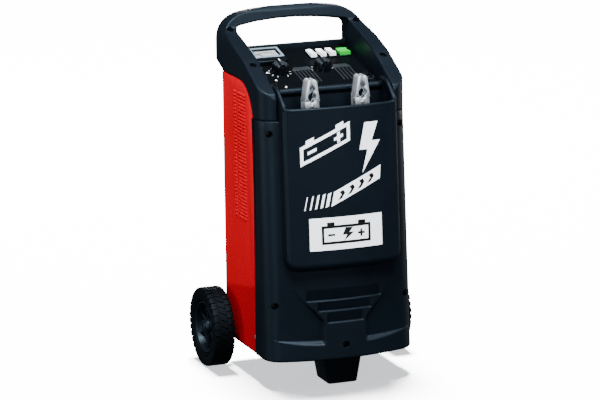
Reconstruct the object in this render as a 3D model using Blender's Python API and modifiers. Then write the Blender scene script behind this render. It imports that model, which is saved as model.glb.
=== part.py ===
"""Wheeled car battery charger and starter.

A sheet-steel box stands on two rubber-tyred wheels and a front foot. Its front is one moulded cover with
a raised pocket, whose open top is a bin for the two battery clamps. A moulded hoop above it carries the
sloping control panel and the grip bar.

Frame: +X to the right seen from the front, +Y to the rear, +Z up, in metres. The origin is on the floor,
under the middle of the whole machine.
"""
from math import atan, cos, degrees, pi, radians, sin, sqrt, tan

import bmesh
import bpy
from mathutils import Matrix, Vector

# ---------------------------------------------------------------- driving dimensions
GAP = 0.0003                # air between two pieces that touch
WALL = 0.003                # moulded wall
SHEET = 0.0015              # folded steel sheet

BODY_BOTTOM = 0.050         # underside of the cover and of the steel box
SEAM_Z = 0.480              # joint between the front cover and the handle frame
GRIP_TOP = 0.645            # highest point of the machine

# steel box
PANEL_HALF = 0.138          # outer face of a side panel
PANEL_REAR = 0.100
PANEL_FRONT = -0.0595       # side panels meet the cover's rear edge
BOX_FLOOR = 0.0515
LOUVRE_ROWS, LOUVRE_PITCH, LOUVRE_FIRST, LOUVRE_HEIGHT = 17, 0.0128, 0.291, 0.004
LOUVRE_COLUMNS = ((-0.0215, 0.0235), (0.0285, 0.0425))   # front and rear end of each slot
MAINS_GLAND = (-0.085, 0.150)         # X and Z on the rear panel

# front cover
COVER_HALF = 0.1400         # half width at the bottom
COVER_HALF_TOP = 0.1385     # half width at the seam
COVER_REAR = -0.060         # rear edge of the side wrap
COVER_EDGE_Y = -0.1238      # where the bowed front would end at BOW_REACH, at the bottom
COVER_BOW = 0.022           # how far the middle stands in front of that
BOW_REACH = 0.1295
CORNER_X = 0.1145           # the bowed front passes into the round corner here
RECESS_BOW = 0.012          # the same beside the neck, at the bottom
RECESS_TOP = 0.170          # height where the side recesses run out
LEAN = 0.059                # the front goes back this much for each metre of height

# stepped boss in the cover's lower front
STEP_Z = (0.158, 0.1378, 0.1175)
STEP_HALF = (0.0704, 0.0500, 0.0340)
STEP_DEPTH = 0.0040
NECK_HALF = 0.0385
LEDGE_Z = 0.0765            # ledge height next to the neck
LEDGE_TIP = (0.1250, 0.089)  # where a ledge runs out: distance from the middle, height

# raised pocket and its bin
POCKET_HALF = 0.1075
POCKET_BOTTOM = 0.214
POCKET_LIP = 0.500
POCKET_TOP = 0.533
POCKET_FACE_Y = -0.1269     # face at the lip, at the side edges
POCKET_BOW = 0.0093
POCKET_CORNER_R = 0.024
BIN_FLOOR = 0.400
BIN_REAR = -0.061
LEAD_X, LEAD_Z = 0.012, 0.4140        # holes in the bin's rear wall for the battery leads

# handle frame
FRAME_HALF = 0.1385
CHEEK_INNER = 0.1095
HOOP_CORNER_R = 0.056
HOOP_REAR_R = 0.014         # its vertical rear corners
HOOP_SHOULDER_Z = 0.638     # hoop's outer top, where its corners begin
SPLIT_Y = 0.128             # joint between the handle frame and its rear shell
HANDLE_REAR = 0.143
DECK_FRONT = -0.0515        # front edge of the deck under the control panel
LIP_BAR = (-0.0555, 0.5205, 0.0065)   # bin's rear bar: Y, Z and radius
# openings under the grip: half width, corner radius, height at the ends and in the middle
FRAME_OPENING = (0.1100, 0.010, 0.6150, 0.6245)
SHELL_OPENING = (0.1090, 0.014, 0.6110, 0.6195)
SHELF_RISE = 0.0097         # the shelf behind the panel stands this far above it
SHELF_FALL = 0.153          # and slopes down to the rear

# control panel plane
PANEL_TILT = radians(14)
TILT_REAR = (0.1455, 0.568)           # a point of its top plane: Y, Z
PLATE = 0.0025
PLATE_Y = (-0.0465, 0.1258)

# control panel fittings, each at an X and Y of the panel
AMMETER = (-0.056, 0.090)
AMMETER_SIZE = 0.060
NEEDLE_PIVOT = -0.0090      # from the ammeter's middle, along the panel's slope
NEEDLE_REST = radians(42)   # the needle lies to the left at zero
KNOBS = {"timer": (-0.0537, 0.0310), "selector": (0.0275, 0.0310)}
KNOB_R, KNOB_H = 0.016, 0.021
SWITCHES = {                # name: X, Y, rocker width, rocker length, colour
    "voltage": (0.0305, 0.0940, 0.0128, 0.0330, "white"),
    "boost": (0.0490, 0.0940, 0.0128, 0.0330, "white"),
    "start": (0.0675, 0.0940, 0.0128, 0.0330, "white"),
    "mains": (0.0910, 0.0915, 0.0215, 0.0290, "green"),
}
ROCKER_TILT = radians(9)
BREAKER = (0.0935, -0.0120)

# wheels
WHEEL_R = 0.0722
WHEEL_WIDTH = 0.0400
WHEEL_X = 0.172
AXLE_Y = 0.083
AXLE_R = 0.006
AXLE_END = 0.1845

# battery clamps
CLAMP_PLACES = {"left": (-0.044, -0.0935), "right": (0.052, -0.0905)}
CLAMP_PIVOT_Z = 0.501
CLAMP_DEPTH = 0.0108        # half depth
CLAMP_SHEET = 0.0026
CLAMP_SWING_ROOM = 0.006    # the moving handle ends this far above the fixed one, so that it clears the bin

# screws
HEAD_R, HEAD_H, SHANK_R, SHANK_L = 0.0041, 0.0018, 0.0019, 0.010
HEAD_SINK = 0.0045
SEAT_R = 0.0062             # round recess for a screw head
BOSS_R, BOSS_DEPTH = 0.0085, 0.0135    # solid boss behind a recess
CHEEK_SCREWS = ((0.1235, -0.0225), (0.1215, 0.1000))   # distance from the middle, Y
COLUMN_SCREW_X = 0.1243
COLUMN_SCREW_Z = {"lower": 0.151, "upper": 0.457}
BUMPER_SCREW_Z = 0.0755

ROUND = 24                  # sides of an ordinary round piece
FINE = 32                   # sides of a tyre
SMALL = 10                  # sides of a screw

PARTS = "battery_charger"
CUTTERS = "cutters"


# ---------------------------------------------------------------- scene and materials
def clear_scene():
    for item in list(bpy.data.objects):
        bpy.data.objects.remove(item, do_unlink=True)
    for name in (PARTS, CUTTERS):
        bpy.context.scene.collection.children.link(bpy.data.collections.new(name))


def material(name, colour, roughness, metallic=0.0, alpha=1.0):
    made = bpy.data.materials.new(name)
    made.use_nodes = True
    shader = made.node_tree.nodes["Principled BSDF"]
    shader.inputs["Base Color"].default_value = (*colour, 1.0)
    shader.inputs["Roughness"].default_value = roughness
    shader.inputs["Metallic"].default_value = metallic
    shader.inputs["Alpha"].default_value = alpha
    return made


def make_materials():
    return {
        "black": material("black_moulding", (0.012, 0.015, 0.022), 0.42),
        "dark": material("dark_plastic", (0.008, 0.009, 0.011), 0.35),
        "red": material("red_paint", (0.72, 0.004, 0.008), 0.38),
        "steel": material("zinc_steel", (0.55, 0.56, 0.58), 0.35, 1.0),
        "chrome": material("chrome", (0.85, 0.86, 0.88), 0.15, 1.0),
        "rubber": material("rubber", (0.012, 0.012, 0.013), 0.75),
        "white": material("white_plastic", (0.86, 0.87, 0.88), 0.30),
        "green": material("green_plastic", (0.05, 0.80, 0.22), 0.25),
        "glass": material("clear_window", (0.95, 0.97, 0.98), 0.05, 0.0, 0.35),
        "copper": material("enamelled_copper", (0.55, 0.22, 0.08), 0.35, 0.6),
        "core": material("lamination_steel", (0.20, 0.20, 0.21), 0.5, 0.9),
        "aluminium": material("aluminium", (0.70, 0.71, 0.72), 0.40, 1.0),
    }


# ---------------------------------------------------------------- shape helpers
def add(name, mesh, mat=None):
    """Put a mesh in the scene: a part when it has a material, a cutter when it has none."""
    made = bpy.data.objects.new(name, mesh)
    if mat is None:
        made.hide_render = True
        made.display_type = "WIRE"
        bpy.data.collections[CUTTERS].objects.link(made)
    else:
        made.data.materials.append(mat)
        bpy.data.collections[PARTS].objects.link(made)
    return made


def finish_bmesh(name, bm, mat):
    bmesh.ops.recalc_face_normals(bm, faces=bm.faces)
    mesh = bpy.data.meshes.new(name)
    bm.to_mesh(mesh)
    bm.free()
    return add(name, mesh, mat)


def sweep(name, outline, axis, near, far, mat=None):
    """Closed outline swept along an axis. Its points give the two other coordinates, in X, Y, Z order."""
    index = "XYZ".index(axis)
    bm = bmesh.new()
    corners = []
    for pair in outline:
        place = list(pair)
        place.insert(index, near)
        corners.append(bm.verts.new(place))
    face = bm.faces.new(corners)
    swept = bmesh.ops.extrude_face_region(bm, geom=[face])["geom"]
    step = Vector((0, 0, 0))
    step[index] = far - near
    bmesh.ops.translate(bm, verts=[v for v in swept if isinstance(v, bmesh.types.BMVert)], vec=step)
    return finish_bmesh(name, bm, mat)


def skin(name, rings):
    """Solid skinned over closed rings of equal length, with flat ends."""
    bm = bmesh.new()
    count = len(rings[0])
    loops = [[bm.verts.new(p) for p in ring] for ring in rings]
    for near, far in zip(loops, loops[1:]):
        for i in range(count):
            j = (i + 1) % count
            bm.faces.new((near[i], near[j], far[j], far[i]))
    for end in (loops[0], loops[-1]):
        bm.faces.new(end)
    bmesh.ops.triangulate(bm, faces=bm.faces[:])
    return finish_bmesh(name, bm, None)


def box(name, low, high, mat=None):
    bm = bmesh.new()
    low, high = Vector(low), Vector(high)
    bmesh.ops.create_cube(bm, size=1.0)
    bmesh.ops.scale(bm, verts=bm.verts, vec=high - low)
    bmesh.ops.translate(bm, verts=bm.verts, vec=(low + high) / 2)
    return finish_bmesh(name, bm, mat)


def cylinder(name, radius, low, high, mat=None, sides=ROUND, axis="Z", centre=(0, 0)):
    """Cylinder along an axis between two heights; centre gives the two other coordinates."""
    index = "XYZ".index(axis)
    bm = bmesh.new()
    bmesh.ops.create_cone(bm, cap_ends=True, segments=sides, radius1=radius, radius2=radius, depth=high - low)
    turn = {"X": Matrix.Rotation(pi / 2, 4, "Y"), "Y": Matrix.Rotation(pi / 2, 4, "X"), "Z": Matrix()}[axis]
    bmesh.ops.transform(bm, verts=bm.verts, matrix=turn)
    place = list(centre)
    place.insert(index, (low + high) / 2)
    bmesh.ops.translate(bm, verts=bm.verts, vec=place)
    return finish_bmesh(name, bm, mat)


def turned(name, profile, mat=None, sides=ROUND):
    """Turned solid about Z: the profile's (radius, height) points run from the top to the bottom.

    A profile that ends at its first point makes a ring.
    """
    ring = profile[0] == profile[-1]
    points = profile[:-1] if ring else profile
    edges = [(i, i + 1) for i in range(len(points) - 1)]
    if ring:
        edges.append((len(points) - 1, 0))
    mesh = bpy.data.meshes.new(name)
    mesh.from_pydata([(r, 0, z) for r, z in points], edges, [])
    made = add(name, mesh, mat)
    spin = made.modifiers.new("turn", "SCREW")
    spin.axis = "Z"
    spin.steps = spin.render_steps = sides
    spin.use_merge_vertices = True
    spin.merge_threshold = 0.00001
    return made


def place(made, location, turn=(0, 0, 0)):
    made.location = location
    made.rotation_euler = turn
    return made


def boolean(target, tool, operation):
    step = target.modifiers.new(operation.lower(), "BOOLEAN")
    step.operation = operation
    step.solver = "EXACT"
    step.object = tool


def cut(target, *tools):
    for tool in tools:
        boolean(target, tool, "DIFFERENCE")
    return target


def join(target, *tools):
    for tool in tools:
        boolean(target, tool, "UNION")
    return target


def keep(target, *tools):
    for tool in tools:
        boolean(target, tool, "INTERSECT")
    return target


def arc(centre, radius, start, end, steps):
    """Points of an arc, both ends included; angles in degrees."""
    points = []
    for i in range(steps + 1):
        a = radians(start + (end - start) * i / steps)
        points.append((centre[0] + radius * cos(a), centre[1] + radius * sin(a)))
    return points


def bowed(half, edge, bow, steps):
    """Points of a shallow arc from -half to +half that stands `bow` in front of `edge`, ends left out."""
    points = []
    for i in range(1, steps):
        x = -half + 2 * half * i / steps
        points.append((x, edge - bow * (1 - (x / half) ** 2)))
    return points


def inset_outline(points, distance):
    """The same closed outline moved inwards by a distance, corner by corner."""
    count = len(points)
    area = sum(points[i][0] * points[(i + 1) % count][1] - points[(i + 1) % count][0] * points[i][1]
               for i in range(count))
    side = 1 if area > 0 else -1
    moved = []
    for i in range(count):
        before, here, after = (Vector(points[j % count]) for j in (i - 1, i, i + 1))
        into, out = (here - before).normalized(), (after - here).normalized()
        normal_in = Vector((-into.y, into.x)) * side
        normal_out = Vector((-out.y, out.x)) * side
        middle = (normal_in + normal_out).normalized()
        moved.append(tuple(here + middle * distance / max(0.3, middle.dot(normal_in))))
    return moved


def panel_z(y):
    """Height of the control panel's top plane at a given Y."""
    return TILT_REAR[1] - (TILT_REAR[0] - y) * tan(PANEL_TILT)


def on_panel(made, x, y, height=0.0, lean=0.0):
    """Stand a piece on the control panel: its own Z along the panel's normal."""
    normal = Vector((0, -sin(PANEL_TILT), cos(PANEL_TILT)))
    return place(made, Vector((x, y, panel_z(y))) + normal * height, (PANEL_TILT + lean, 0, 0))


# ---------------------------------------------------------------- steel box
def box_side_outline():
    """Side panel outline in Y and Z: the top front corner follows the handle frame's swept edge."""
    gap = 0.0008
    curve = arc((0.015, 0.4676), 0.070 - gap, 180, 90, 6)
    return [(PANEL_FRONT, BOX_FLOOR), (PANEL_REAR, BOX_FLOOR), (PANEL_REAR, 0.5376 - gap)] + curve[::-1] + [
        (PANEL_FRONT, curve[0][1])]


def side_panel(name, side, mats):
    near, far = sorted((side * (PANEL_HALF - SHEET), side * PANEL_HALF))
    panel = sweep(name, box_side_outline(), "X", near, far, mats["red"])
    reach = (near - 0.002, far + 0.002)
    for row in range(LOUVRE_ROWS):
        low = LOUVRE_FIRST + row * LOUVRE_PITCH
        for front, rear in LOUVRE_COLUMNS:
            cut(panel, box(f"{name}_slot", (reach[0], front, low), (reach[1], rear, low + LOUVRE_HEIGHT)))
    hole = cylinder(f"{name}_axle_hole", AXLE_R + GAP, *reach, None, ROUND, "X", (AXLE_Y, WHEEL_R))
    return cut(panel, hole)


def rear_panel(mats):
    half = PANEL_HALF - SHEET - GAP
    panel = box("rear_panel", (-half, PANEL_REAR - SHEET, BOX_FLOOR), (half, PANEL_REAR, 0.5372), mats["red"])
    behind = (PANEL_REAR - 0.004, PANEL_REAR + 0.002)
    for row in range(8):
        low = 0.400 + row * LOUVRE_PITCH
        cut(panel, box("rear_slot", (-0.060, behind[0], low), (0.060, behind[1], low + LOUVRE_HEIGHT)))
    return cut(panel, cylinder("gland_hole", 0.0083, *behind, None, ROUND, "Y", MAINS_GLAND))


def steel_box(mats):
    half = PANEL_HALF - SHEET - GAP
    rear = PANEL_REAR - SHEET - GAP
    front, nose_half, nose_front = -0.092, 0.100, -0.118
    outline = [(-half, rear), (-half, front), (-nose_half, nose_front),
               (nose_half, nose_front), (half, front), (half, rear)]
    sweep("base_plate", outline, "Z", BOX_FLOOR, BOX_FLOOR + 0.002, mats["steel"])
    side_panel("left_side_panel", -1, mats)
    side_panel("right_side_panel", 1, mats)
    rear_panel(mats)
    gland = turned("mains_gland", [(0.0042, 0.022), (0.0060, 0.022), (0.0085, 0.006), (0.0125, 0.005),
                                   (0.0125, 0.0003), (0.0080, 0.0003), (0.0080, -0.008), (0.0042, -0.008),
                                   (0.0042, 0.022)], mats["rubber"], SMALL + 4)
    place(gland, (MAINS_GLAND[0], PANEL_REAR, MAINS_GLAND[1]), (-pi / 2, 0, 0))


# ---------------------------------------------------------------- internal parts
def internals(mats):
    floor = BOX_FLOOR + 0.002 + GAP
    core = box("transformer_core", (-0.062, -0.030, floor), (0.062, 0.050, floor + 0.104), mats["core"])
    for side in (-1, 1):
        near, far = sorted((side * 0.021, side * 0.042))
        cut(core, box("core_window", (near, -0.040, floor + 0.020), (far, 0.060, floor + 0.084)))
    winding = box("transformer_winding", (-0.0415, -0.052, floor + 0.0205), (0.0415, 0.072, floor + 0.0835),
                  mats["copper"])
    cut(winding, box("winding_hole", (-0.0213, -0.0303, floor), (0.0213, 0.0503, floor + 0.110)))
    rear = PANEL_REAR - SHEET - GAP
    sink = box("rectifier_heatsink", (-0.055, rear - 0.006, 0.230), (0.055, rear, 0.350), mats["aluminium"])
    for fin in range(6):
        x = -0.0525 + fin * 0.021
        join(sink, box("fin", (x - 0.0015, rear - 0.030, 0.2302), (x + 0.0015, rear - 0.003, 0.3498)))
    for side, word in ((-1, "left"), (1, "right")):
        diode = turned(f"rectifier_diode_{word}", [(0, 0.020), (0.0025, 0.020), (0.003, 0.010), (0.0075, 0.009),
                                                   (0.0075, 0.0003), (0, 0.0003)], mats["steel"], SMALL)
        place(diode, (side * 0.0210, rear - 0.0064, 0.290), (pi / 2, 0, 0))


# ---------------------------------------------------------------- front cover
def bow_y(x):
    """Y of the cover's bowed front at the bottom."""
    return COVER_EDGE_Y - COVER_BOW * (1 - (x / BOW_REACH) ** 2)


def cover_corner():
    """Middle (X, Y) and radius of the cover's round corner, and the bow's slope where they meet."""
    slope = atan(2 * COVER_BOW * CORNER_X / BOW_REACH ** 2)
    radius = (COVER_HALF - CORNER_X) / (1 - sin(slope))
    return COVER_HALF - radius, bow_y(CORNER_X) + radius * cos(slope), radius, slope


def cover_plan(inset):
    """Front of the cover in X and Y, from the left flank round both corners to the right flank."""
    middle_x, middle_y, radius, slope = cover_corner()
    left = arc((-middle_x, middle_y), radius - inset, 180, 270 - degrees(slope), 6)
    front = []
    for i in range(1, 12):
        x = -CORNER_X + 2 * CORNER_X * i / 12
        lean = atan(2 * COVER_BOW * x / BOW_REACH ** 2)
        front.append((x - inset * sin(lean), bow_y(x) + inset * cos(lean)))
    return left + front + [(-x, y) for x, y in left][::-1]


def cover_solid(name, inset, low_bow, rear, low, high, mat=None):
    """The cover's outer form, or with an inset its hollow: a bowed plan that narrows and leans back."""
    half = COVER_HALF - inset
    outline = [(-half, rear)] + cover_plan(inset) + [(half, rear)]
    made = sweep(name, outline, "Z", low, high, mat)
    bm = bmesh.new()
    bm.from_mesh(made.data)
    bmesh.ops.bisect_plane(bm, geom=bm.verts[:] + bm.edges[:] + bm.faces[:], plane_no=(0, 0, 1),
                           plane_co=(0, 0, RECESS_TOP + inset))
    corner_y = cover_corner()[1]
    for v in bm.verts:
        rise = v.co.z - BODY_BOTTOM
        drop = max(0.0, (RECESS_TOP - v.co.z) / (RECESS_TOP - BODY_BOTTOM))
        if abs(v.co.x) < BOW_REACH and v.co.y < corner_y:
            v.co.y += (COVER_BOW - low_bow) * drop * (1 - (v.co.x / BOW_REACH) ** 2)
        if v.co.y < rear - 0.01:
            v.co.y += LEAN * rise
        v.co.x *= 1 - (1 - COVER_HALF_TOP / COVER_HALF) * rise / (SEAM_Z - BODY_BOTTOM)
    bm.to_mesh(made.data)
    bm.free()
    return made


def recess_outline():
    """Outline of the right-hand recess beside the neck, in X and Z, above its ledge."""
    tip_x, tip_z = LEDGE_TIP
    neck = arc((NECK_HALF + 0.008, LEDGE_Z + 0.008), 0.008, 262, 180, 4)
    top = RECESS_TOP - 0.006
    return [(tip_x, top), (tip_x, tip_z)] + neck + [
        (STEP_HALF[2] + 0.0045, STEP_Z[2]), (STEP_HALF[0] + 0.003, STEP_Z[0]),
        (STEP_HALF[0] + 0.006, top)]


def side_recess(side):
    """Cutter for one recess: its floor is the cover's form with a flatter bow, so it runs out upwards."""
    outline = [(side * x, z) for x, z in recess_outline()]
    recess = sweep("recess", outline, "Y", -0.20, COVER_EDGE_Y + 0.030)
    return cut(recess, cover_solid("recess_floor", 0.0, RECESS_BOW, COVER_REAR, BODY_BOTTOM, SEAM_Z))


def cover_front_y(x, z):
    """Y of the cover's front surface."""
    middle_x, middle_y, radius, _ = cover_corner()
    lean = LEAN * (z - BODY_BOTTOM)
    if abs(x) < CORNER_X:
        return bow_y(x) + lean
    return middle_y - sqrt(radius ** 2 - (abs(x) - middle_x) ** 2) + lean


def step_cutter(index):
    """Wedge above one step's edge: the wall below each edge slopes back to the next one."""
    low = STEP_Z[index]
    high = STEP_Z[index - 1] - 0.0006 if index else low + 0.020
    half = STEP_HALF[index]
    ahead = -0.004
    wedge = sweep("step_wedge", [(ahead, high), (ahead, low), (STEP_DEPTH, low), (0, high)], "X", -half, half)
    bm = bmesh.new()
    bm.from_mesh(wedge.data)
    for i in range(1, 5):
        x = -half + 2 * half * i / 5
        bmesh.ops.bisect_plane(bm, geom=bm.verts[:] + bm.edges[:] + bm.faces[:], plane_co=(x, 0, 0),
                               plane_no=(1, 0, 0))
    for v in bm.verts:
        v.co.y += cover_front_y(v.co.x, v.co.z)
    bm.to_mesh(wedge.data)
    bm.free()
    return wedge


def pocket_solid(name, inset, rear, low, high, mat=None):
    """The pocket's form, or with an inset its hollow: a bowed plan with round side edges, leaning back."""
    half = POCKET_HALF - inset
    edge = POCKET_FACE_Y - LEAN * POCKET_LIP + inset
    radius = 0.0085 - inset
    left = arc((-half + radius, edge + radius), radius, 180, 270, 3)
    right = [(-x, y) for x, y in left][::-1]
    front = bowed(half - radius, edge, POCKET_BOW, 8)
    rear_flat = rear - LEAN * low
    outline = [(-half, rear_flat)] + left + front + right + [(half, rear_flat)]
    made = sweep(name, outline, "Z", low, high, mat)
    for v in made.data.vertices:
        v.co.y = rear if abs(v.co.y - rear_flat) < 0.00001 else v.co.y + LEAN * v.co.z
    return made


def pocket_front_outline(inset):
    """Pocket outline in X and Z, with round lower corners."""
    half, bottom = POCKET_HALF - inset, POCKET_BOTTOM + inset
    radius = POCKET_CORNER_R - inset
    corner = arc((half - radius, bottom + radius), radius, 0, -90, 5)
    right = [(half + 0.001, POCKET_TOP + 0.02), (half + 0.001, bottom + radius)] + corner
    return right + [(-x, z) for x, z in right][::-1]


def pocket_side_outline():
    """Pocket outline in Y and Z: the lip is low in front and its sides rise to the cheeks."""
    bar_front = LIP_BAR[0] - LIP_BAR[2] - 0.0012
    bar_under = LIP_BAR[1] - LIP_BAR[2] - 0.0030
    return [(-0.20, POCKET_BOTTOM - 0.01), (-0.20, POCKET_LIP), (-0.1300, POCKET_LIP),
            (-0.0870, POCKET_TOP), (bar_front, POCKET_TOP), (bar_front, bar_under),
            (-0.040, bar_under), (-0.040, POCKET_BOTTOM - 0.01)]


def front_screw_places():
    """X and Z of the screws that hold the cover: four in its columns and one in the bumper."""
    columns = [(side * COLUMN_SCREW_X, z) for side in (-1, 1) for z in COLUMN_SCREW_Z.values()]
    return columns + [(0.0, BUMPER_SCREW_Z)]


def front_cover(mats):
    high = SEAM_Z - GAP
    cover = cover_solid("front_cover", 0.0, COVER_BOW, COVER_REAR, BODY_BOTTOM, high, mats["black"])
    cut(cover, side_recess(-1), side_recess(1), *(step_cutter(i) for i in range(len(STEP_Z))))
    hollow = cover_solid("cover_hollow", WALL, RECESS_BOW, 0.0, BODY_BOTTOM - 0.01, high + 0.01)
    for x, z in front_screw_places():
        cut(hollow, place(screw_boss(), (x, cover_front_y(x, z), z), (pi / 2, 0, 0)))
    cut(cover, hollow)
    pocket = pocket_solid("pocket", 0.0, BIN_REAR + WALL, POCKET_BOTTOM, POCKET_TOP + 0.01)
    keep(pocket, sweep("pocket_front", pocket_front_outline(0.0), "Y", -0.20, 0.0),
         sweep("pocket_side", pocket_side_outline(), "X", -0.2, 0.2))
    join(cover, pocket)
    hollow = pocket_solid("pocket_hollow", WALL, -0.050, POCKET_BOTTOM, BIN_FLOOR - WALL)
    cut(cover, keep(hollow, sweep("pocket_hollow_front", pocket_front_outline(WALL), "Y", -0.20, 0.0)))
    cut(cover, pocket_solid("bin_hollow", WALL, BIN_REAR, BIN_FLOOR, POCKET_TOP + 0.02))
    for x, z in front_screw_places():
        cut(cover, place(screw_hole(), (x, cover_front_y(x, z), z), (pi / 2, 0, 0)))
    for side in (-1, 1):
        cut(cover, cylinder("lead_hole", 0.0063, BIN_REAR - 0.003, BIN_REAR + 0.006, None, SMALL, "Y",
                            (side * LEAD_X, LEAD_Z)))
    return cover


def lead_grommet(mats):
    """One rubber piece behind the bin's rear wall, with a nose for each battery lead."""
    back = BIN_REAR + WALL + GAP
    grommet = box("lead_grommet", (-0.026, back, 0.4040), (0.026, back + 0.004, 0.4240), mats["rubber"])
    for side in (-1, 1):
        centre = (side * LEAD_X, LEAD_Z)
        join(grommet, cylinder("nose", 0.0060, BIN_REAR - 0.004, back + 0.001, None, SMALL, "Y", centre))
        cut(grommet, cylinder("nose_hole", 0.0040, BIN_REAR - 0.010, back + 0.010, None, SMALL, "Y", centre))
    return grommet


def front_foot(mats):
    """Tapered foot, hollow and open at the top under the base plate."""
    top, deep = BOX_FLOOR - GAP, (-0.1265, -0.0655)
    outline = [(-0.0275, 0.0), (0.0275, 0.0), (0.0370, top), (-0.0370, top)]
    foot = sweep("front_foot", outline, "Y", *deep, mats["rubber"])
    for v in foot.data.vertices:
        if v.co.z < 0.001:
            v.co.y *= 0.985
    inner = [(-0.0235, 0.004), (0.0235, 0.004), (0.0330, top + 0.001), (-0.0330, top + 0.001)]
    return cut(foot, sweep("foot_hollow", inner, "Y", deep[0] + 0.004, deep[1] - 0.004))


# ---------------------------------------------------------------- handle frame
def frame_side_outline():
    """The handle frame seen from the side, in Y and Z, from the column's foot round over the grip."""
    edge = arc((0.015, 0.4676), 0.070, 169.8, 90, 6)
    top = [(-0.1040, SEAM_Z), (-0.1020, 0.5200), (-0.0960, 0.5300), (-0.0870, 0.5365),
           (-0.0775, 0.5385), (-0.0100, 0.5735), (0.0400, 0.5905), (0.0920, 0.6060),
           (0.1040, 0.6130), (0.1085, 0.6260), (0.1130, 0.6380), (0.1210, GRIP_TOP),
           (0.1300, 0.6440), (0.1390, 0.6380), (HANDLE_REAR, 0.6270), (HANDLE_REAR, 0.5620),
           (0.1370, 0.5540), (PANEL_REAR + 0.0005, 0.5400), (PANEL_REAR + 0.0005, 0.5376)]
    return top + edge[::-1]


def frame_front_outline(inset):
    """The hoop seen from the front, in X and Z: round shoulders and a bowed grip."""
    half, radius = FRAME_HALF - inset, HOOP_CORNER_R - inset
    shoulder = HOOP_SHOULDER_Z - inset
    corner = arc((half - radius, shoulder - radius), radius, 0, 80, 7)
    reach = corner[-1][0]
    crown = []
    rise = GRIP_TOP - inset + 0.0005 - corner[-1][1]
    for i in range(1, 8):
        x = reach - 2 * reach * i / 8
        crown.append((x, corner[-1][1] + rise * (1 - (x / reach) ** 2)))
    return [(half, 0.30)] + corner + crown + [(-x, z) for x, z in corner][::-1] + [(-half, 0.30)]


def frame_plan_outline(inset):
    """The frame seen from above, in X and Y. Its front corners carry on those of the cover."""
    _, corner_y, corner_r, _ = cover_corner()
    front_middle = (FRAME_HALF - corner_r, corner_y + LEAN * (SEAM_Z - BODY_BOTTOM))
    rear_middle = (FRAME_HALF - HOOP_REAR_R, HANDLE_REAR - HOOP_REAR_R)
    rear = arc(rear_middle, HOOP_REAR_R - inset, 0, 90, 4)
    front = arc(front_middle, corner_r - inset, 270, 360, 6)
    return rear + [(-x, y) for x, y in rear][::-1] + [(-x, y) for x, y in front][::-1] + front


def well_outline(grow):
    """The space above the control panel in Y and Z, down to the seat that the panel lies on."""
    rear_step = PLATE_Y[1] + PLATE * sin(PANEL_TILT) + GAP
    seat = -PLATE - GAP
    front = DECK_FRONT - 0.008 - grow
    shelf = panel_z(rear_step) + SHELF_RISE - grow
    return [(front, panel_z(front) + seat - grow), (rear_step, panel_z(rear_step) + seat - grow),
            (rear_step, shelf), (0.30, shelf - (0.30 - rear_step) * SHELF_FALL), (0.30, 0.70), (front, 0.70)]


def opening_outline(opening, grow):
    """The same space in X and Z: cheek to cheek, closed above by the bowed underside of the grip."""
    half, radius, end, mid = opening
    half, top, mid = half + grow, end + grow, mid + grow
    corner = arc((half - radius, top - radius), radius, 0, 80, 4)
    reach, level = corner[-1]
    crown = []
    for i in range(1, 8):
        x = reach - 2 * reach * i / 8
        crown.append((x, level + (mid - level) * (1 - (x / reach) ** 2)))
    return [(half, 0.30)] + corner + crown + [(-x, z) for x, z in corner][::-1] + [(-half, 0.30)]


def hoop_solid(name, inset, near_y, far_y, opening, mat=None):
    """The hoop's form between two Y planes, shrunk by the inset and already opened above the panel."""
    side = frame_side_outline()
    hoop = sweep(name, inset_outline(side, inset) if inset else side, "X", -0.2, 0.2, mat)
    keep(hoop, sweep("hoop_front", frame_front_outline(inset), "Y", near_y, far_y),
         sweep("hoop_plan", frame_plan_outline(inset), "Z", 0.40, 0.70))
    well = sweep("hoop_well", well_outline(inset), "X", -0.25, 0.25)
    keep(well, sweep("hoop_opening", opening_outline(opening, inset), "Y", -0.30, 0.35))
    bin_half, bin_y = CHEEK_INNER + inset, DECK_FRONT + inset
    return cut(hoop, well, box("bin_space", (-bin_half, -0.30, 0.30), (bin_half, bin_y, 0.70)))


def handle_frame(mats):
    frame = hoop_solid("handle_frame", 0.0, -0.20, SPLIT_Y, FRAME_OPENING, mats["black"])
    hollow = hoop_solid("frame_hollow", WALL, -0.20, SPLIT_Y + 0.001, FRAME_OPENING)
    for side in (-1, 1):
        for x, y in CHEEK_SCREWS:
            cut(hollow, place(screw_boss(), cheek_point(side * x, y), (cheek_tilt(y), 0, 0)))
    cut(frame, hollow)
    inside = FRAME_HALF - 1.2 * WALL
    under = sweep("frame_under", [(-0.0500, 0.47), (0.0960, 0.47), (0.0960, 0.5440), (-0.0500, 0.5100)], "X",
                  -inside, inside)
    column = box("column_under", (-inside, -0.0980, 0.47), (inside, -0.0480, 0.490))
    keep(column, sweep("column_plan", frame_plan_outline(1.2 * WALL), "Z", 0.46, 0.50))
    cut(frame, under, column)
    y, z, radius = LIP_BAR
    join(frame, cylinder("lip_bar", radius, -CHEEK_INNER - 0.001, CHEEK_INNER + 0.001, None, 14, "X", (y, z)))
    window = box("panel_window", (-0.1050, 0, -0.02), (0.1050, 0.160, 0.02))
    cut(frame, on_panel(window, 0, -0.034))
    for side in (-1, 1):
        for x, y in CHEEK_SCREWS:
            cut(frame, place(screw_hole(), cheek_point(side * x, y), (cheek_tilt(y), 0, 0)))
    return frame


def handle_rear_shell(mats):
    shell = hoop_solid("handle_rear_shell", 0.0, SPLIT_Y + GAP, 0.20, SHELL_OPENING, mats["black"])
    return cut(shell, hoop_solid("shell_hollow", WALL, SPLIT_Y - 0.001, 0.20, SHELL_OPENING))


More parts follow.
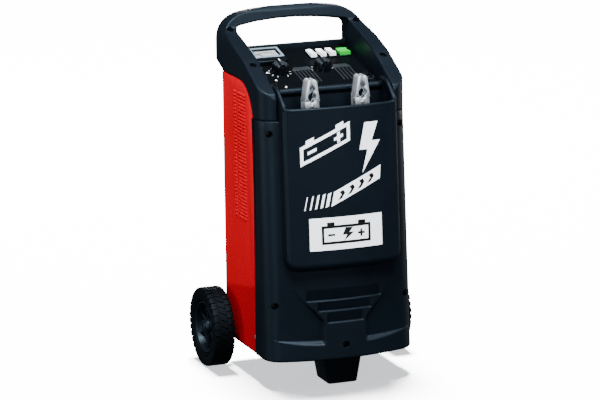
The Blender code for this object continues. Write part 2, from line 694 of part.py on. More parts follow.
def cheek_tilt(y):
    """Slope of the cheek's top face at a given Y."""
    points = frame_side_outline()
    for (y0, z0), (y1, z1) in zip(points, points[1:]):
        if y0 <= y <= y1:
            return atan((z1 - z0) / (y1 - y0))
    return 0.0


def cheek_point(x, y):
    """A point on the cheek's top face."""
    points = frame_side_outline()
    for (y0, z0), (y1, z1) in zip(points, points[1:]):
        if y0 <= y <= y1:
            return Vector((x, y, z0 + (z1 - z0) * (y - y0) / (y1 - y0)))
    return Vector((x, y, GRIP_TOP))


# ---------------------------------------------------------------- screws
def screw_hole():
    """Stepped cutter: a recess for the head and a clearance hole for the shank, mouth at its origin."""
    hole, depth, above = SHANK_R + GAP, BOSS_DEPTH - 0.0012, 0.008
    return turned("screw_hole", [(0, above), (SEAT_R, above), (SEAT_R, -HEAD_SINK), (hole, -HEAD_SINK),
                                 (hole, -depth), (0, -depth)], None, SMALL + 4)


def screw_boss():
    """What a hollow leaves standing behind a screw's recess."""
    return turned("screw_boss", [(0, 0.02), (BOSS_R, 0.02), (BOSS_R, -BOSS_DEPTH), (0, -BOSS_DEPTH)], None,
                  SMALL + 4)


def screw(name, mats, location, turn):
    top = -HEAD_SINK + GAP + HEAD_H
    head = [(0, top), (HEAD_R * 0.7, top), (HEAD_R, top - 0.0007), (HEAD_R, -HEAD_SINK + GAP),
            (SHANK_R, -HEAD_SINK + GAP), (SHANK_R, -SHANK_L), (0, -SHANK_L - 0.001)]
    return place(turned(name, head, mats["dark"], SMALL), location, turn)


def screws(mats):
    for side, word in ((-1, "left"), (1, "right")):
        for (x, y), level in zip(CHEEK_SCREWS, ("front", "rear")):
            screw(f"cheek_screw_{level}_{word}", mats, cheek_point(side * x, y), (cheek_tilt(y), 0, 0))
        for level, z in COLUMN_SCREW_Z.items():
            x = side * COLUMN_SCREW_X
            screw(f"column_screw_{level}_{word}", mats, (x, cover_front_y(x, z), z), (pi / 2, 0, 0))
    place_y = cover_front_y(0, BUMPER_SCREW_Z)
    screw("bumper_screw", mats, (0, place_y, BUMPER_SCREW_Z), (pi / 2, 0, 0))


# ---------------------------------------------------------------- control panel
def control_panel(mats):
    length = (PLATE_Y[1] - PLATE_Y[0]) / cos(PANEL_TILT)
    plate = box("control_panel", (-CHEEK_INNER + 0.0006, 0, -PLATE), (CHEEK_INNER - 0.0006, length, 0),
                mats["dark"])
    on_panel(plate, 0, PLATE_Y[0])
    for side in (-1, 1):
        boss = cylinder("panel_boss", 0.0050, -0.001, 0.007, None, SMALL)
        join(plate, on_panel(boss, side * 0.1010, 0.1185))
    cut(plate, on_panel(cylinder("ammeter_hole", 0.0230, -0.01, 0.01), *AMMETER))
    for x, y in KNOBS.values():
        cut(plate, on_panel(cylinder("shaft_hole", 0.0040, -0.01, 0.01, None, SMALL), x, y))
    for x, y, width, long, _ in SWITCHES.values():
        half = (width / 2 + 0.0017, long / 2 + 0.0022)
        cut(plate, on_panel(box("switch_hole", (-half[0], -half[1], -0.01), (half[0], half[1], 0.01)), x, y))
    return cut(plate, on_panel(cylinder("breaker_hole", 0.0103, -0.01, 0.01), *BREAKER))


def ammeter(mats):
    """Square moving-coil meter: its barrel drops through the panel, its scale lies under a clear window."""
    half = AMMETER_SIZE / 2
    low_x, low_y, high_x, high_y = -0.0260, -0.0115, 0.0260, 0.0260
    rim = 0.0012
    case = box("ammeter_case", (-half, -half, GAP), (half, half, 0.010), mats["dark"])
    barrel = cylinder("ammeter_barrel", 0.0225, -0.012, 0.002)
    well = box("ammeter_well", (low_x, low_y, 0.0032), (high_x, high_y, 0.02))
    rebate = box("ammeter_rebate", (low_x - rim, low_y - rim, 0.0080), (high_x + rim, high_y + rim, 0.02))
    cut(join(case, barrel), well, rebate)
    scale = box("ammeter_scale", (low_x + GAP, low_y + GAP, 0.0035), (high_x - GAP, high_y - GAP, 0.0043),
                mats["white"])
    edge = rim - GAP
    lens = box("ammeter_lens", (low_x - edge, low_y - edge, 0.0083), (high_x + edge, high_y + edge, 0.0098),
               mats["glass"])
    for piece in (case, barrel, well, rebate, scale, lens):
        on_panel(piece, *AMMETER)
    blade = [(-0.0006, -0.0015), (0.0006, -0.0015), (0.0003, 0.0270), (-0.0003, 0.0270)]
    needle = sweep("ammeter_needle", blade, "Z", 0.0055, 0.0061, mats["dark"])
    hub = cylinder("needle_hub", 0.0018, 0.0052, 0.0066, None, SMALL)
    join(needle, hub)
    slope = Vector((0, cos(PANEL_TILT), sin(PANEL_TILT)))
    pivot = Vector((AMMETER[0], AMMETER[1], panel_z(AMMETER[1]))) + slope * NEEDLE_PIVOT
    turn = Matrix.Rotation(PANEL_TILT, 4, "X") @ Matrix.Rotation(NEEDLE_REST, 4, "Z")
    for piece in (needle, hub):
        piece.matrix_world = Matrix.Translation(pivot) @ turn


def rocker_switch(name, x, y, width, long, mat, mats):
    """A bezel and housing that drop into the panel, and the rocker that tilts in them about X."""
    rim = (width / 2 + 0.0024, long / 2 + 0.0032)
    house = (width / 2 + 0.0013, long / 2 + 0.0018)
    well = (width / 2 + 0.0005, long / 2 + 0.0010)
    body = box(f"{name}_switch_body", (-rim[0], -rim[1], GAP), (rim[0], rim[1], 0.0020), mats["dark"])
    lower = box(f"{name}_housing", (-house[0], -house[1], -0.018), (house[0], house[1], 0.001))
    hollow = box(f"{name}_well", (-well[0], -well[1], -0.012), (well[0], well[1], 0.01))
    cut(join(body, lower), hollow)
    for piece in (body, lower, hollow):
        on_panel(piece, x, y)
    half = long / 2
    outline = [(-half + 0.0012, -0.0050), (half - 0.0012, -0.0050), (half - 0.0003, 0.0040),
               (half - 0.0012, 0.0050), (0.0, 0.0034), (-half + 0.0012, 0.0050), (-half + 0.0003, 0.0040)]
    rocker = sweep(f"{name}_rocker", outline, "X", -width / 2, width / 2, mat)
    return on_panel(rocker, x, y, 0.0015, -ROCKER_TILT)


def rotary(name, x, y, mats):
    """A rotary control: its body hangs under the panel, and the knob's shaft drops into it."""
    top = -PLATE - 0.0005
    body = box(f"{name}_body", (-0.017, -0.017, top - 0.024), (0.017, 0.017, top), mats["dark"])
    bore = cylinder(f"{name}_bore", 0.0038, top - 0.010, top + 0.01, None, SMALL)
    cut(body, bore)
    knob = turned(f"{name}_knob", [(0, KNOB_H - 0.004), (KNOB_R - 0.0035, KNOB_H - 0.004),
                                   (KNOB_R - 0.0015, KNOB_H - 0.0055), (KNOB_R, 0.0035), (KNOB_R, 0.0008),
                                   (0.0030, 0.0008), (0.0030, -0.0090), (0, -0.0090)], mats["dark"])
    grip = box(f"{name}_grip", (-0.0035, -KNOB_R + 0.0012, KNOB_H - 0.008), (0.0035, KNOB_R - 0.0012, KNOB_H))
    join(knob, grip)
    for piece in (body, bore, knob, grip):
        on_panel(piece, x, y)


def breaker(mats):
    """Thermal breaker: a threaded collar through the panel and a reset button that trips outwards."""
    body = turned("breaker_body", [(0, -0.013), (0.0078, -0.013), (0.0078, 0.0045), (0.0110, 0.0045),
                                   (0.0130, 0.0025), (0.0130, GAP), (0.0100, GAP), (0.0100, -0.026),
                                   (0, -0.026)], mats["dark"])
    profile = [(0, 0.0080), (0.0055, 0.0080), (0.0070, 0.0065), (0.0070, -0.0120), (0, -0.0120)]
    button = turned("breaker_button", profile, mats["dark"])
    for piece in (body, button):
        on_panel(piece, *BREAKER)


def panel_fittings(mats):
    ammeter(mats)
    for name, (x, y, width, long, colour) in SWITCHES.items():
        rocker_switch(name, x, y, width, long, mats[colour], mats)
    for name, (x, y) in KNOBS.items():
        rotary(name, x, y, mats)
    breaker(mats)


# ---------------------------------------------------------------- wheels
def wheels(mats):
    axle = cylinder("axle", AXLE_R, -AXLE_END, AXLE_END, mats["steel"], ROUND, "X", (AXLE_Y, WHEEL_R))
    half = WHEEL_WIDTH / 2
    rim_r = 0.048
    tread = [(rim_r, half - 0.004), (0.052, half - 0.001), (0.0665, half - 0.0003), (0.0705, half - 0.0022),
             (WHEEL_R, half - 0.0055)]
    tyre = tread + [(r, -h) for r, h in tread][::-1] + [tread[0]]
    bore = AXLE_R + GAP
    hub = [(bore, 0.009), (0.0165, 0.009), (0.0165, 0.006), (0.040, 0.004), (0.042, half - 0.007),
           (rim_r - GAP, half - 0.0055), (rim_r - GAP, -half + 0.0055), (0.042, -half + 0.007), (0.040, -0.004),
           (0.0165, -0.006), (0.0130, -0.026), (bore, -0.026), (bore, 0.009)]
    cap = [(0, 0.0175), (0.0115, 0.0175), (0.0150, 0.0145), (0.0150, 0.0093), (0.0122, 0.0093),
           (0.0122, 0.0150), (0, 0.0150)]
    clip = [(bore, 0.0108), (0.0100, 0.0100), (0.0100, 0.0094), (bore, 0.0098), (bore, 0.0108)]
    for side, word in ((-1, "left"), (1, "right")):
        centre = (side * WHEEL_X, AXLE_Y, WHEEL_R)
        facing = (0, side * pi / 2, 0)
        place(turned(f"tyre_{word}", tyre, mats["rubber"], FINE), centre, facing)
        place(turned(f"hub_{word}", hub, mats["dark"], ROUND), centre, facing)
        place(turned(f"hub_cap_{word}", cap, mats["dark"], ROUND), centre, facing)
        place(turned(f"axle_clip_{word}", clip, mats["steel"], SMALL), centre, facing)
    return axle


# ---------------------------------------------------------------- battery clamps
def limb_outline(lift):
    """Right limb of a clamp about its pivot, in X and Z: jaw above, handle below and lifted off the bin."""
    jaw = [(0.0030, 0.0090), (0.0062, 0.0140), (0.0052, 0.0200), (0.0012, 0.0240), (0.0055, 0.0300),
           (0.0045, 0.0370), (0.0006, 0.0395), (0.0006, 0.0465), (0.0060, 0.0475), (0.0110, 0.0430),
           (0.0138, 0.0350), (0.0138, 0.0090)]
    foot = BIN_FLOOR + GAP - CLAMP_PIVOT_Z + lift
    handle = [(0.0135, -0.0090), (0.0185, -0.0220), (0.0265, -0.0560), (0.0310, foot),
              (0.0240, foot), (0.0200, -0.0560), (0.0120, -0.0220), (0.0070, -0.0090)]
    return jaw, handle


def clamp_limb(name, side, layer, mat):
    """One limb of pressed sheet. Ears in its own layer of the depth reach round the pivot pin."""
    jaw, handle = limb_outline(CLAMP_SWING_ROOM if side > 0 else 0.0)
    jaw, handle = ([(side * x, z) for x, z in part] for part in (jaw, handle))
    limb = sweep(name, jaw, "Y", -CLAMP_DEPTH, CLAMP_DEPTH, mat)
    deep = CLAMP_DEPTH
    pieces = [sweep(f"{name}_handle", handle, "Y", -deep, deep)]
    web = [(0.0135, -0.0120), (0.0135, 0.0120), (0.0060, 0.0120), (0.0030, 0.0055), (-0.0030, 0.0055),
           (-0.0055, 0.0020), (-0.0055, -0.0020), (-0.0030, -0.0055), (0.0040, -0.0060), (0.0085, -0.0120)]
    web = [(side * x, z) for x, z in web]
    for sign in (-1, 1):
        near, far = sorted(sign * d for d in layer)
        pieces.append(sweep(f"{name}_ear", web, "Y", near, far))
    join(limb, *pieces)
    step = -side * CLAMP_SHEET
    inner = deep - CLAMP_SHEET
    hollows = []
    for part in (jaw, handle):
        shifted = [(x + step, z) for x, z in part]
        hollows.append(sweep(f"{name}_channel", shifted, "Y", -inner, inner))
    bore = cylinder(f"{name}_bore", 0.0025 + GAP, -0.02, 0.02, None, SMALL, "Y", (0, 0))
    cut(limb, *hollows, bore)
    return [limb, bore] + pieces + hollows


def clamps(mats):
    for word, (x, y) in CLAMP_PLACES.items():
        outer = (CLAMP_DEPTH - CLAMP_SHEET, CLAMP_DEPTH)
        inner = (CLAMP_DEPTH - 2 * CLAMP_SHEET - GAP, CLAMP_DEPTH - CLAMP_SHEET - GAP)
        pieces = clamp_limb(f"clamp_{word}_fixed_jaw", -1, outer, mats["chrome"])
        pieces += clamp_limb(f"clamp_{word}_moving_jaw", 1, inner, mats["chrome"])
        pin = cylinder(f"clamp_{word}_pin", 0.0025, -0.0118, 0.0118, mats["steel"], SMALL, "Y")
        reach = CLAMP_DEPTH - 2 * CLAMP_SHEET - 2 * GAP
        spring = cylinder(f"clamp_{word}_spring", 0.0045, -reach, reach, mats["steel"], SMALL + 4, "Y")
        leg = box(f"clamp_{word}_leg", (-0.0043, -0.0008, -0.0300), (-0.0030, 0.0008, 0.0010))
        hole = cylinder(f"clamp_{word}_spring_hole", 0.0028, -0.02, 0.02, None, SMALL, "Y")
        cut(join(spring, leg), hole)
        for piece in pieces + [pin, spring, leg, hole]:
            piece.location = (x, y, CLAMP_PIVOT_Z)


# ---------------------------------------------------------------- assembly
def shade_round_pieces():
    for made in bpy.data.collections[PARTS].objects:
        if made.type == "MESH" and made.data.polygons:
            made.data.shade_smooth()
            made.data.set_sharp_from_angle(angle=radians(35))


def main():
    clear_scene()
    mats = make_materials()
    steel_box(mats)
    internals(mats)
    front_cover(mats)
    lead_grommet(mats)
    front_foot(mats)
    handle_frame(mats)
    handle_rear_shell(mats)
    screws(mats)
    control_panel(mats)
    panel_fittings(mats)
    wheels(mats)
    clamps(mats)
    shade_round_pieces()


main()
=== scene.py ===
"""Looks of a wheeled battery charger and starter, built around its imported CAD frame.

The moulded cover, the hoop, the side panels, the wheels, the clamps and the panel fittings are fine pieces
that stand for their CAD nodes. All of it is in metres in the frame's axes: +X to the right seen from the
front, +Y to the rear, +Z up. No lettering is drawn: plain pictograms stand where the machine has its marks.
"""
from math import asin, atan, cos, degrees, pi, radians, sin, sqrt, tan

import bmesh
import bpy
from mathutils import Matrix, Vector


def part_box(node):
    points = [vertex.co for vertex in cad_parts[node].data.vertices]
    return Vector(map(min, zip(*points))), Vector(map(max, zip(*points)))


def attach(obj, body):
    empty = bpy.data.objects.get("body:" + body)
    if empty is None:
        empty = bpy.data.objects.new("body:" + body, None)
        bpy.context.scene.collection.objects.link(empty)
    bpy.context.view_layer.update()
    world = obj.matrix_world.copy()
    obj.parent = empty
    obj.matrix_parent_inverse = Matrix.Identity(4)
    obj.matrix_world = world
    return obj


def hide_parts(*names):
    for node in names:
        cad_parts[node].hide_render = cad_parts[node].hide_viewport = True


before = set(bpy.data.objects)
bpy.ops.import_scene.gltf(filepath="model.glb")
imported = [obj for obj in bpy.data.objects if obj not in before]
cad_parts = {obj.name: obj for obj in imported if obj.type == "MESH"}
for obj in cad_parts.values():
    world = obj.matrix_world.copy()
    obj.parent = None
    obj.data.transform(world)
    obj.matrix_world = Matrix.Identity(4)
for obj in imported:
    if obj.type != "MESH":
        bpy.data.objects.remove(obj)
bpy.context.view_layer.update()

# ---------------------------------------------------------------- sizes read from the frame
cover_low, cover_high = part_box("front_cover")
frame_low, frame_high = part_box("handle_frame")
side_low, side_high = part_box("left_side_panel")
tyre_low, tyre_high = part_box("tyre_left")

BODY_BOTTOM = cover_low.z
COVER_HALF = cover_high.x
COVER_REAR = cover_high.y
SEAM_Z = frame_low.z
GRIP_TOP = frame_high.z
FRAME_HALF = frame_high.x
PANEL_HALF = -side_low.x
PANEL_REAR = side_high.y
WHEEL_R = (tyre_high.z - tyre_low.z) / 2
WHEEL_WIDTH = tyre_high.x - tyre_low.x
WHEEL_X = -(tyre_high.x + tyre_low.x) / 2
AXLE = Vector((0, (tyre_high.y + tyre_low.y) / 2, WHEEL_R))

# ---------------------------------------------------------------- shape of the moulded cover
COVER_HALF_TOP = 0.1385
COVER_EDGE_Y = -0.1238
COVER_BOW = 0.022
BOW_REACH = 0.1295
CORNER_X = 0.1145
RECESS_DEPTH = 0.01
RECESS_TOP = 0.17
LEAN = 0.059
WALL = 0.003
STEP_Z = (0.158, 0.1378, 0.1175)
STEP_HALF = (0.0704, 0.05, 0.034)
STEP_DEPTH = 0.0042
NECK_HALF = 0.0385
LEDGE_Z = 0.0765
LEDGE_TIP = (0.125, 0.089)

POCKET_HALF = 0.1075
POCKET_BOTTOM = 0.214
POCKET_LIP = 0.5
POCKET_TOP = 0.533
POCKET_FACE_Y = -0.1269
POCKET_BOW = 0.0093
POCKET_EDGE_R = 0.0085
POCKET_CORNER_R = 0.024
BIN_FLOOR = 0.4
BIN_REAR = -0.061
RIM_R = 0.004
LIP_FRONT_Y, LIP_REAR_Y = -0.13, -0.087

# ---------------------------------------------------------------- shape of the hoop
CHEEK_INNER = 0.1095
HOOP_CORNER_R = 0.056
HOOP_SHOULDER_Z = 0.638
HOOP_REAR_R = 0.014
FRAME_OPENING = (0.11, 0.01, 0.615, 0.6245)
SHELL_OPENING = (0.109, 0.014, 0.611, 0.6195)
SHELF_RISE, SHELF_FALL = 0.0097, 0.153
SPLIT_Y = 0.128
HANDLE_REAR = 0.143
DECK_FRONT = -0.0515
LIP_BAR = (-0.0555, 0.5205, 0.0065)
SWEPT_EDGE, SWEPT_R, SWEPT_TOP = (0.015, 0.4676), 0.07, 0.5376

# ---------------------------------------------------------------- control panel
PANEL_TILT = radians(14)
TILT_REAR = (0.1455, 0.568)
AMMETER = (-0.056, 0.09)
METER_UP = 0.0073
METER_ARC_R = 0.0248
NEEDLE_PIVOT = -0.009
NEEDLE_REST = radians(42)
KNOBS = {"timer": (-0.0537, 0.031), "selector": (0.0275, 0.031)}
SWITCHES = {
    "voltage": (0.0305, 0.094, 0.0128, 0.033, "white"),
    "boost": (0.049, 0.094, 0.0128, 0.033, "white"),
    "start": (0.0675, 0.094, 0.0128, 0.033, "white"),
    "mains": (0.091, 0.0915, 0.0215, 0.029, "green"),
}
ROCKER_TILT = radians(9)
BREAKER = (0.0935, -0.012)
CLAMP_PLACES = {"left": (-0.044, -0.0935), "right": (0.052, -0.0905)}
CLAMP_PIVOT_Z = 0.501
CLAMP_DEPTH = 0.0108
CHEEK_SCREWS = ((0.1235, -0.0225), (0.1215, 0.1))
COLUMN_SCREW_X = 0.1243
COLUMN_SCREW_Z = (0.151, 0.457)
BUMPER_SCREW_Z = 0.0755
HEAD_R = 0.0041
SEAT_R = 0.0062
HEAD_SINK = 0.0045

# ---------------------------------------------------------------- camera
CAMERA_TARGET = Vector((0.0012, 0.0823, 0.2903))
CAMERA_AZIMUTH, CAMERA_ELEVATION, CAMERA_ROLL = radians(20.8), radians(12.9), radians(0.7)
CAMERA_DISTANCE = 6.0
CAMERA_LENS = 198.0


# ---------------------------------------------------------------- mesh helpers
def new_object(name, data):
    made = bpy.data.objects.new(name, data)
    bpy.context.scene.collection.objects.link(made)
    return made


def from_bmesh(name, bm):
    bmesh.ops.recalc_face_normals(bm, faces=bm.faces)
    mesh = bpy.data.meshes.new(name)
    bm.to_mesh(mesh)
    bm.free()
    return new_object(name, mesh)


def from_faces(name, points, faces):
    bm = bmesh.new()
    corners = [bm.verts.new(p) for p in points]
    for face in faces:
        bm.faces.new([corners[i] for i in face])
    bmesh.ops.remove_doubles(bm, verts=bm.verts, dist=0.000001)
    return from_bmesh(name, bm)


def loft(name, rings, loop=False):
    """Skin over closed rings of equal length. Ends are capped, or the last ring joins the first in a loop."""
    count = len(rings[0])
    points = [p for ring in rings for p in ring]
    faces = []
    for k in range(len(rings) if loop else len(rings) - 1):
        a, b = k * count, (k + 1) % len(rings) * count
        faces += [(a + i, a + (i + 1) % count, b + (i + 1) % count, b + i) for i in range(count)]
    if not loop:
        last = (len(rings) - 1) * count
        faces += [tuple(range(count)), tuple(range(last, last + count))]
    return from_faces(name, points, faces)


def sweep(name, outline, axis, near, far):
    """Prism of a closed outline. Its points give the two other coordinates, in X, Y, Z order."""
    index = "XYZ".index(axis)
    rings = []
    for depth in (near, far):
        ring = []
        for pair in outline:
            point = list(pair)
            point.insert(index, depth)
            ring.append(point)
        rings.append(ring)
    return loft(name, rings)


def box(name, low, high):
    return sweep(name, [(low[0], low[1]), (high[0], low[1]), (high[0], high[1]), (low[0], high[1])], "Z",
                 low[2], high[2])


def turned(name, profile, sides=48):
    """Turned solid about Z of (radius, height) points, which start and end on the axis or form a ring."""
    bm = bmesh.new()
    ring = profile[0] == profile[-1]
    points = profile[:-1] if ring else profile
    spun = [[bm.verts.new((r * cos(2 * pi * k / sides), r * sin(2 * pi * k / sides), z)) for r, z in points]
            for k in range(sides)]
    for k in range(sides):
        here, after = spun[k], spun[(k + 1) % sides]
        for i in range(len(points) if ring else len(points) - 1):
            j = (i + 1) % len(points)
            bm.faces.new((here[i], here[j], after[j], after[i]))
    bmesh.ops.remove_doubles(bm, verts=bm.verts, dist=0.000001)
    bmesh.ops.dissolve_degenerate(bm, edges=bm.edges, dist=0.000001)
    return from_bmesh(name, bm)


def cylinder(name, radius, low, high, sides=32, rim=0.0):
    profile = [(0, high), (radius - rim, high), (radius, high - rim), (radius, low + rim),
               (radius - rim, low), (0, low)]
    return turned(name, profile, sides)


def mirrored(profile):
    """The points of a profile, and after them the same ones below, in reverse."""
    return profile + [(r, -h) for r, h in profile[::-1]]


def tube(name, points, radius, sides=10, loop=False):
    """Round tube along points, its section carried along without twist."""
    points = [Vector(p) for p in points]
    count = len(points)
    rings = []
    across = None
    for i, here in enumerate(points):
        before = points[i - 1] if i or loop else here
        after = points[(i + 1) % count] if i < count - 1 or loop else here
        ahead = (after - before).normalized()
        if across is None:
            across = ahead.orthogonal().normalized()
        across = (across - ahead * across.dot(ahead)).normalized()
        other = ahead.cross(across)
        rings.append([here + (across * cos(2 * pi * k / sides) + other * sin(2 * pi * k / sides)) * radius
                      for k in range(sides)])
    return loft(name, rings, loop)


def arc(centre, radius, start, end, steps):
    """Points of an arc, both ends included; angles in degrees."""
    turns = [radians(start + (end - start) * i / steps) for i in range(steps + 1)]
    return [(centre[0] + radius * cos(a), centre[1] + radius * sin(a)) for a in turns]


def rounded(width, height, radius, steps=5):
    """Rounded rectangle about the origin."""
    x, y = width / 2 - radius, height / 2 - radius
    corners = ((x, y, 0), (-x, y, 90), (-x, -y, 180), (x, -y, 270))
    return [p for cx, cy, start in corners for p in arc((cx, cy), radius, start, start + 90, steps)]


def plate(name, outline, low, high, rim=0.0006, steps=3):
    """Plate of an outline about the origin, its upper edge rounded by insetting the outline."""
    width = max(abs(x) for x, _ in outline)
    depth = max(abs(y) for _, y in outline)
    rings = [[(x, y, low) for x, y in outline]]
    for k in range(steps + 1):
        a = pi / 2 * k / steps
        shrink = rim * (1 - cos(a))
        rings.append([(x * (1 - shrink / width), y * (1 - shrink / depth), high - rim * (1 - sin(a)))
                      for x, y in outline])
    return loft(name, rings)


def applied(made):
    """Put the result of the modifiers into the mesh."""
    graph = bpy.context.evaluated_depsgraph_get()
    mesh = bpy.data.meshes.new_from_object(made.evaluated_get(graph))
    made.modifiers.clear()
    made.data = mesh
    return made


def boolean(target, tools, operation="DIFFERENCE", solver="EXACT"):
    for tool in tools:
        step = target.modifiers.new(operation.lower(), "BOOLEAN")
        step.operation = operation
        step.solver = solver
        step.object = tool
    applied(target)
    for tool in tools:
        bpy.data.objects.remove(tool)
    return target


def bevel(made, width, segments=3, angle=30):
    step = made.modifiers.new("bevel", "BEVEL")
    step.width = width
    step.segments = segments
    step.limit_method = "ANGLE"
    step.angle_limit = radians(angle)
    return applied(made)


def soften(made, voxel, rounds):
    """Remesh a solid finely and smooth it, which rounds every edge as a moulding's are."""
    step = made.modifiers.new("remesh", "REMESH")
    step.mode = "VOXEL"
    step.voxel_size = voxel
    step = made.modifiers.new("smooth", "SMOOTH")
    step.factor = 0.5
    step.iterations = rounds
    return applied(made)


def together(name, parts):
    """Several meshes as one object."""
    bm = bmesh.new()
    for part in parts:
        part.data.transform(part.matrix_world)
        bm.from_mesh(part.data)
        bpy.data.objects.remove(part)
    mesh = bpy.data.meshes.new(name)
    bm.to_mesh(mesh)
    bm.free()
    return new_object(name, mesh)


def moved(made, matrix):
    made.data.transform(matrix)
    return made


def shifted(made, x, y, z):
    return moved(made, Matrix.Translation((x, y, z)))


SLOTS = {
    "moulding": "black_moulding", "hub": "black_moulding", "rubber": "tyre_rubber", "soft": "soft_rubber",
    "red": "red_paint", "chrome": "clamp_chrome", "zinc": "zinc_steel", "screw": "black_steel",
    "white": "rocker_white", "print": "rocker_white", "green": "rocker_green", "window": "meter_window",
}


def piece(made, finish, body="chassis", stands_for=(), angle=35, slot=None):
    """Finish a piece: material, smooth shading, its body and the CAD nodes that it stands for. The slot is
    not used.
    """
    slot = slot or SLOTS.get(finish, "panel_plastic")
    made.data.materials.clear()
    made.data.materials.append(MATERIALS[finish])
    for face in made.data.polygons:
        face.material_index = 0
    made.data.shade_smooth()
    made.data.set_sharp_from_angle(angle=radians(angle))
    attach(made, body)
    if stands_for:
        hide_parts(*stands_for)
    return made


def step_up(value, low, high):
    """Smooth step from 0 at low to 1 at high."""
    t = min(1.0, max(0.0, (value - low) / (high - low)))
    return t * t * (3 - 2 * t)


# ---------------------------------------------------------------- materials
def surface(name, dark, light, rough, patch=14.0, grain=0.0, depth=0.0, metallic=0.0, stretch=None,
            gloss=0.5, tint=(1, 1, 1)):
    """Procedural finish: colour and roughness drift between two values in patches, over a fine grain."""
    made = bpy.data.materials.new(name)
    made.use_nodes = True
    nodes, links = made.node_tree.nodes, made.node_tree.links
    shader = nodes["Principled BSDF"]
    shader.inputs["Metallic"].default_value = metallic
    shader.inputs["Specular IOR Level"].default_value = gloss
    shader.inputs["Specular Tint"].default_value = (*tint, 1)
    place = nodes.new("ShaderNodeTexCoord")
    vector = place.outputs["Object"]
    if stretch:
        mapping = nodes.new("ShaderNodeMapping")
        mapping.inputs["Scale"].default_value = stretch
        links.new(vector, mapping.inputs["Vector"])
        vector = mapping.outputs["Vector"]

    def noise(scale, detail):
        made_noise = nodes.new("ShaderNodeTexNoise")
        made_noise.inputs["Scale"].default_value = scale
        made_noise.inputs["Detail"].default_value = detail
        links.new(vector, made_noise.inputs["Vector"])
        return made_noise.outputs["Fac"]

    def ranged(value, low, high):
        span = nodes.new("ShaderNodeMapRange")
        span.inputs["From Min"].default_value = 0.3
        span.inputs["From Max"].default_value = 0.7
        span.inputs["To Min"].default_value = low
        span.inputs["To Max"].default_value = high
        links.new(value, span.inputs["Value"])
        return span.outputs["Result"]

    patches = noise(patch, 5.0)
    blend = nodes.new("ShaderNodeMix")
    blend.data_type = "RGBA"
    blend.inputs["A"].default_value = (*dark, 1)
    blend.inputs["B"].default_value = (*light, 1)
    links.new(ranged(patches, 0.0, 1.0), blend.inputs["Factor"])
    links.new(blend.outputs["Result"], shader.inputs["Base Color"])
    links.new(ranged(noise(patch * 3.1, 4.0), *rough), shader.inputs["Roughness"])
    if grain:
        bump = nodes.new("ShaderNodeBump")
        bump.inputs["Strength"].default_value = 1.0
        bump.inputs["Distance"].default_value = depth
        links.new(noise(grain, 3.0), bump.inputs["Height"])
        links.new(bump.outputs["Normal"], shader.inputs["Normal"])
    return made


# Painted shade on the red panels: the line's fall towards the rear, and the heights over which the darkening
# fades in
SHADE_LINE_FALL, SHADE_LINE_Z = 0.178, (0.16, 0.166)


def red_with_painted_shade(name):
    """Red powder coat with painted shade: a little darker below a line that falls towards the rear."""
    made = surface(name, (0.38, 0.0001, 0.006), (0.43, 0.0002, 0.008), (0.5, 0.58), patch=6, grain=420,
                   depth=0.00006, gloss=0.0)
    nodes, links = made.node_tree.nodes, made.node_tree.links
    parts = nodes.new("ShaderNodeSeparateXYZ")
    place = next(node for node in nodes if node.type == "TEX_COORD")
    links.new(place.outputs["Object"], parts.inputs["Vector"])
    height = nodes.new("ShaderNodeMath")
    height.operation = "MULTIPLY_ADD"
    height.inputs[1].default_value = SHADE_LINE_FALL
    links.new(parts.outputs["Y"], height.inputs[0])
    links.new(parts.outputs["Z"], height.inputs[2])
    # painted shade: below the line the red is multiplied down to 0.74
    shade_band = nodes.new("ShaderNodeMapRange")
    shade_band.inputs["From Min"].default_value, shade_band.inputs["From Max"].default_value = SHADE_LINE_Z
    shade_band.inputs["To Min"].default_value = 0.74
    links.new(height.outputs["Value"], shade_band.inputs["Value"])
    shade = nodes.new("ShaderNodeMix")
    shade.data_type = "RGBA"
    shade.blend_type = "MULTIPLY"
    shade.inputs["Factor"].default_value = 1.0
    shader = nodes["Principled BSDF"]
    links.new(shader.inputs["Base Color"].links[0].from_socket, shade.inputs["A"])
    links.new(shade_band.outputs["Result"], shade.inputs["B"])
    links.new(shade.outputs["Result"], shader.inputs["Base Color"])
    return made


def glowing(name, colour, glow):
    made = surface(name, colour, colour, (0.3, 0.38), grain=400, depth=0.00002, gloss=0.1)
    shader = made.node_tree.nodes["Principled BSDF"]
    shader.inputs["Emission Color"].default_value = (*colour, 1)
    shader.inputs["Emission Strength"].default_value = glow
    return made


def clear_window(name):
    made = surface(name, (0.96, 0.98, 0.99), (1.0, 1.0, 1.0), (0.02, 0.05), grain=60, depth=0.00001)
    shader = made.node_tree.nodes["Principled BSDF"]
    shader.inputs["Transmission Weight"].default_value = 1.0
    shader.inputs["IOR"].default_value = 1.2
    return made


BLUISH = (0.6, 0.82, 1.0)


